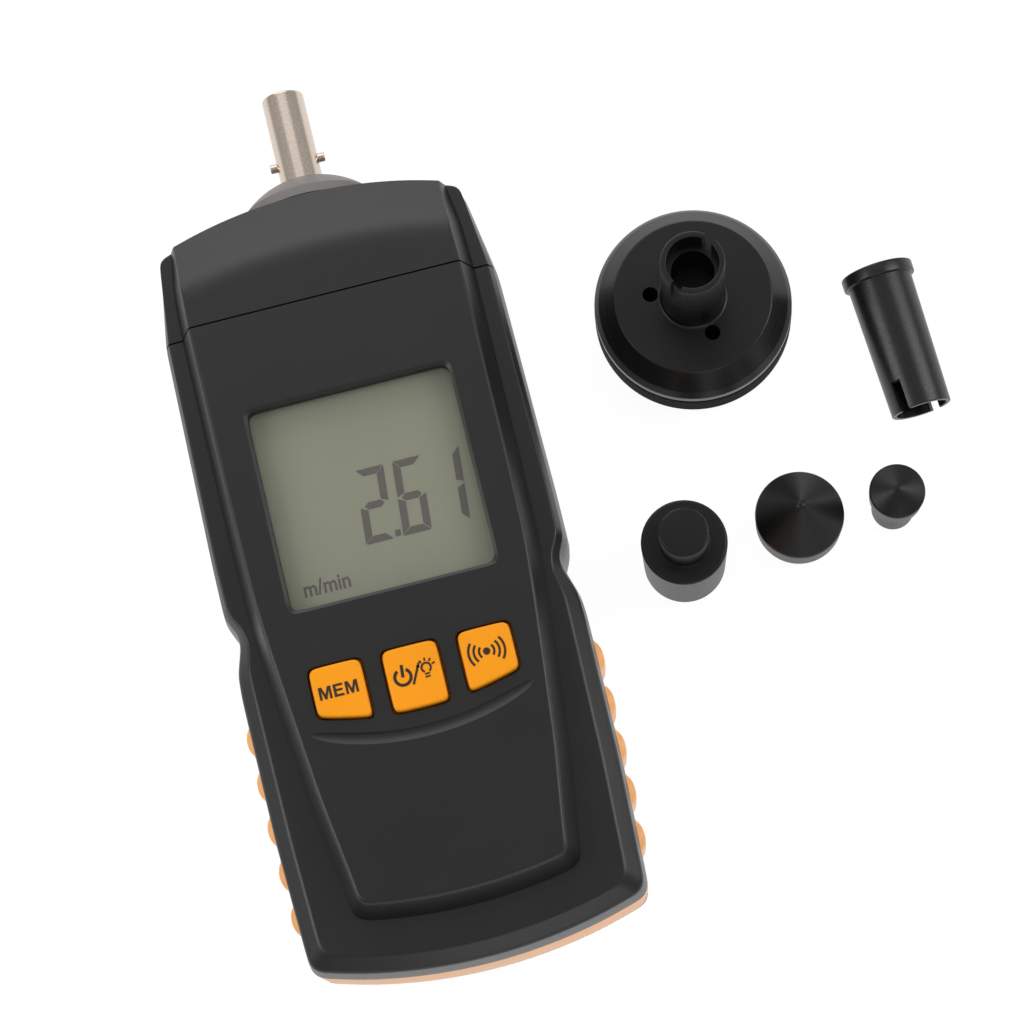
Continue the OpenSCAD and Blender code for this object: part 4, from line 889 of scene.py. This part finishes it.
def spindle():
    obj = lathe_along_spindle("spindle_turned", [
        (0, 32.0, 0), (3.0, 32.0, 0.4), (3.0, 36.8, 0), (2.6, 36.8, 0), (2.6, 37.45, 0), (3.0, 37.45, 0),
        (3.0, 66.0, 0), (3.4, 66.0, 0), (3.4, 82.6, 0.45), (0, 82.6, 0)])
    dress(finish_shading(obj), spindle_nickel, "rotor", "spindle_nickel", "spindle")
    pin = soft_lathe("cross_pin", [(0, -4.5, 0), (0.75, -4.5, 0.15), (0.75, 4.5, 0.15), (0, 4.5, 0)], 48)
    place(pin, (0, 71.1, SPINDLE_Z), Matrix.Rotation(math.pi / 2, 4, "Y"))
    dress(finish_shading(pin), spindle_nickel, "rotor", "spindle_nickel", "drive_pin")


def lens():
    """The display's window, with a polished bevel round its upper edge."""
    top = BODY_T - WINDOW_SINK
    corners = [(0.05, 30.4, 0), (0.05, top - 0.35, 0.05), (0.4, top, 0.05), (1.0, top, 0)]
    upper = loft("window_lens", [lift(outline(window_rows(), d), z) for d, z in soft_profile(corners, 3)])
    low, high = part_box("display_window")
    rim = outline(window_rows(), -0.9)
    boolean(upper, loft("rim", [lift(rim, low[2] / MM), lift(rim, 30.25)]), "UNION")
    dress(finish_shading(upper), window_clear, "housing", "window_clear", "display_window")


def flat_shape(name, outlines, z, thickness):
    """Closed outlines raised into a thin solid."""
    bm = bmesh.new()
    for points in outlines:
        rings = [[bm.verts.new(Vector((x, y, h)) * MM) for x, y in points] for h in (z, z + thickness)]
        bm.faces.new(rings[0][::-1])
        bm.faces.new(rings[1])
        for i in range(len(points)):
            j = (i + 1) % len(points)
            bm.faces.new((rings[0][i], rings[0][j], rings[1][j], rings[1][i]))
    bmesh.ops.recalc_face_normals(bm, faces=bm.faces)
    mesh = bpy.data.meshes.new(name)
    bm.to_mesh(mesh)
    bm.free()
    obj = bpy.data.objects.new(name, mesh)
    bpy.context.scene.collection.objects.link(obj)
    return obj


SEGMENTS = {"2": "abged", "6": "acdefg", "1": "bc"}


def figure(digit, x0, y0, width=4.4, height=11.7, stroke=1.12, gap=0.1, slant=0.075):
    """The bars of one figure of a seven-bar display."""
    half = height / 2
    t = stroke

    def across(y, upper):
        """A level bar with slanting ends: its middle bar is pointed."""
        if upper == "middle":
            return [(gap + t / 2, y), (t + gap, y + t / 2), (width - t - gap, y + t / 2), (width - gap - t / 2, y),
                    (width - t - gap, y - t / 2), (t + gap, y - t / 2)]
        d = -1 if upper else 1
        return [(gap, y), (width - gap, y), (width - t - gap, y + d * t), (t + gap, y + d * t)]

    def upright(x, y1, y2, left):
        d = 1 if left else -1
        low_cut, high_cut = (t, t / 2) if y1 < half - 1 else (t / 2, t)
        return [(x, y1 + (gap if low_cut == t else gap + t / 2 * 0.2)), (x, y2 - gap),
                (x + d * t, y2 - gap - high_cut), (x + d * t, y1 + gap + low_cut)]

    bars = {
        "a": across(height, True), "d": across(0, False), "g": across(half, "middle"),
        "f": upright(0, half, height, True), "e": upright(0, 0, half, True),
        "b": upright(width, half, height, False), "c": upright(width, 0, half, False),
    }
    chosen = [bars[k] for k in SEGMENTS[digit]]
    return [[(x0 + x + slant * y, y0 + y) for x, y in bar] for bar in chosen]


def text_shape(name, body, size, width_scale, centre, z, thickness, bold=0.0, slant=0.0):
    """Generic lettering as a thin solid, centred on a point."""
    curve = bpy.data.curves.new(name, "FONT")
    curve.body = body
    curve.size = 1
    curve.offset = bold
    curve.shear = slant
    curve.extrude = 0.5
    text = bpy.data.objects.new(name + "_text", curve)
    bpy.context.scene.collection.objects.link(text)
    mesh = bpy.data.meshes.new_from_object(text.evaluated_get(bpy.context.evaluated_depsgraph_get()))
    bpy.data.objects.remove(text)
    xs = [v.co.x for v in mesh.vertices]
    ys = [v.co.y for v in mesh.vertices]
    middle = ((min(xs) + max(xs)) / 2, (min(ys) + max(ys)) / 2)
    for v in mesh.vertices:
        v.co = Vector(((v.co.x - middle[0]) * size * width_scale + centre[0],
                       (v.co.y - middle[1]) * size + centre[1],
                       z + (v.co.z + 0.5) * thickness)) * MM
    mesh.name = name
    obj = bpy.data.objects.new(name, mesh)
    bpy.context.scene.collection.objects.link(obj)
    return obj


def arc_band(cx, cy, r, width, start, end, steps=16):
    angles = np.radians(np.linspace(start, end, steps))
    outer = [(cx + (r + width / 2) * math.cos(a), cy + (r + width / 2) * math.sin(a)) for a in angles]
    inner = [(cx + (r - width / 2) * math.cos(a), cy + (r - width / 2) * math.sin(a)) for a in angles[::-1]]
    return outer + inner


def stroke_band(x0, y0, x1, y1, width):
    along = unit(vec(x1 - x0, y1 - y0))
    side = vec(-along[1], along[0]) * width / 2
    a, b = vec(x0, y0), vec(x1, y1)
    return [tuple(p) for p in (a - side, b - side, b + side, a + side)]


def display_figures():
    z = GLASS_TOP_Z + 0.02
    bars = figure("2", -2.75, 3.95) + figure("6", 3.1, 3.95) + figure("1", 9.1, 3.95)
    bars.append([(1.9, 4.15), (2.75, 4.15), (2.82, 5.1), (1.97, 5.1)])
    obj = flat_shape("display_figures", bars, z, 0.05)
    dress(obj, segment_dark, "housing", "lcd")
    unit_mark = text_shape("display_unit", "m/min", 3.5, 0.84, (-9.95, -0.5), z, 0.05, 0.016, 0.0)
    dress(unit_mark, segment_dark, "housing", "lcd")


def key_marks():
    z, t = KEY_TOP_Z + 0.02, 0.07
    m_letter = [(0, 0), (0, 2.1), (0.56, 2.1), (1.05, 0.78), (1.54, 2.1), (2.1, 2.1), (2.1, 0), (1.7, 0),
                (1.7, 1.5), (1.22, 0), (0.88, 0), (0.4, 1.5), (0.4, 0)]
    e_letter = [(0, 0), (0, 2.1), (1.62, 2.1), (1.62, 1.72), (0.44, 1.72), (0.44, 1.26), (1.5, 1.26), (1.5, 0.9),
                (0.44, 0.9), (0.44, 0.38), (1.66, 0.38), (1.66, 0)]
    word = flat_shape("memory_mark", [[(-11.5 + (x0 + x + 11.4) * 0.9, -18.5 + y * 0.92) for x, y in letter]
                                      for x0, letter in ((-14.7, m_letter), (-12.22, e_letter), (-10.2, m_letter))], z, t)
    dress(word, mark_black, "memory_key", "key_orange")
    ring = arc_band(-1.75, -18.05, 1.22, 0.46, 122, 418, 40)
    bar = stroke_band(-1.75, -18.1, -1.6, -16.2, 0.46)
    slash = stroke_band(-0.42, -19.5, 1.0, -16.5, 0.34)
    bulb = arc_band(1.95, -17.45, 0.7, 0.3, -60, 240, 28)
    neck = [stroke_band(1.55, y, 2.3, y + 0.05, 0.26) for y in (-18.4, -18.85)]
    rays = []
    for degrees in (20, 55, 90, 125, 160):
        a = math.radians(degrees)
        rays.append(stroke_band(1.95 + 1.0 * math.cos(a), -17.45 + 1.0 * math.sin(a),
                                1.95 + 1.5 * math.cos(a), -17.45 + 1.5 * math.sin(a), 0.26))
    power = flat_shape("power_mark", [ring, bar, slash, bulb] + neck + rays, z, t)
    dress(power, mark_black, "power_key", "key_orange")
    cx, cy = 11.25, -17.3
    waves = [[(cx + 0.55 * math.cos(a), cy + 0.55 * math.sin(a)) for a in np.linspace(0, 2 * math.pi, 24, endpoint=False)]]
    for r, reach in ((1.15, 42), (1.95, 40), (2.75, 38)):
        waves += [arc_band(cx, cy, r, 0.34, -reach, reach), arc_band(cx, cy, r, 0.34, 180 - reach, 180 + reach)]
    signal = flat_shape("signal_mark", waves, z, t)
    dress(signal, mark_black, "signal_key", "key_orange")


wheel()
tube()
tips()
spindle()
lens()
display_figures()
key_marks()


# Stage

def stage_floor():
    m = Nodes("floor")
    rays = m.add("ShaderNodeLightPath")
    seen = m.maths("MAXIMUM", rays.outputs["Is Camera Ray"],
                   m.maths("MAXIMUM", rays.outputs["Is Glossy Ray"], rays.outputs["Is Transmission Ray"]))
    m.feed("Base Color", (0.9, 0.9, 0.9, 1))
    m.feed("Roughness", 0.9)
    glow = m.add("ShaderNodeEmission")
    glow.inputs["Color"].default_value = (1, 1, 1, 1)
    glow.inputs["Strength"].default_value = 1.08
    mix = m.add("ShaderNodeMixShader")
    m.tree.links.new(m.maths("MULTIPLY", seen, 0.88), mix.inputs["Fac"])
    m.tree.links.new(m.shader.outputs["BSDF"], mix.inputs[1])
    m.tree.links.new(glow.outputs["Emission"], mix.inputs[2])
    m.tree.links.new(mix.outputs["Shader"], m.out.inputs["Surface"])
    size = 1500
    floor = new_mesh("floor", [(-size, -size, -0.02), (size, -size, -0.02), (size, size, -0.02), (-size, size, -0.02)],
                     [(0, 1, 2, 3)])
    floor.data.materials.append(m.material)


def world():
    w = bpy.data.worlds.new("studio")
    bpy.context.scene.world = w
    w.use_nodes = True
    w.node_tree.nodes["Background"].inputs["Color"].default_value = (1, 1, 1, 1)
    w.node_tree.nodes["Background"].inputs["Strength"].default_value = 0.4


def lamp(name, place_mm, target_mm, size_mm, watts):
    data = bpy.data.lights.new(name, "AREA")
    data.shape = "RECTANGLE"
    data.size = size_mm[0] * MM
    data.size_y = size_mm[1] * MM
    data.energy = watts
    obj = bpy.data.objects.new(name, data)
    obj.location = Vector(place_mm) * MM
    obj.rotation_euler = (Vector(target_mm) - Vector(place_mm)).to_track_quat("-Z", "Y").to_euler()
    bpy.context.scene.collection.objects.link(obj)


def camera():
    """The photograph's viewpoint, fitted to the display, the spindle's axis and the adapters."""
    data = bpy.data.cameras.new("camera")
    data.sensor_width = 36
    data.lens = 36 * 3000 / 1024
    data.clip_start = 0.01
    obj = bpy.data.objects.new("camera", data)
    right = Vector((0.96986, -0.23586, -0.06119)).normalized()
    forward = Vector((-0.00417, 0.23502, -0.97198)).normalized()
    down = forward.cross(right)
    right = down.cross(forward)
    rotation = Matrix((right, -down, -forward)).transposed()
    obj.matrix_world = Matrix.Translation(Vector((21.785, -103.42, 470.93)) * MM) @ rotation.to_4x4()
    bpy.context.scene.collection.objects.link(obj)
    bpy.context.scene.camera = obj


stage_floor()
world()
lamp("left_lamp", (-420, 20, 380), (10, 0, 0), (190, 340), 0.9)
lamp("right_lamp", (450, 20, 380), (20, 0, 0), (190, 340), 0.95)
lamp("nose_lamp", (-20, 470, 300), (0, 50, 20), (460, 300), 0.85)
lamp("spindle_lamp", (0, 270, 500), (0, 75, 17), (420, 80), 0.1)
lamp("tail_lamp", (60, -480, 260), (30, -40, 10), (320, 200), 0.32)
camera()

bpy.context.scene.view_settings.view_transform = "Standard"
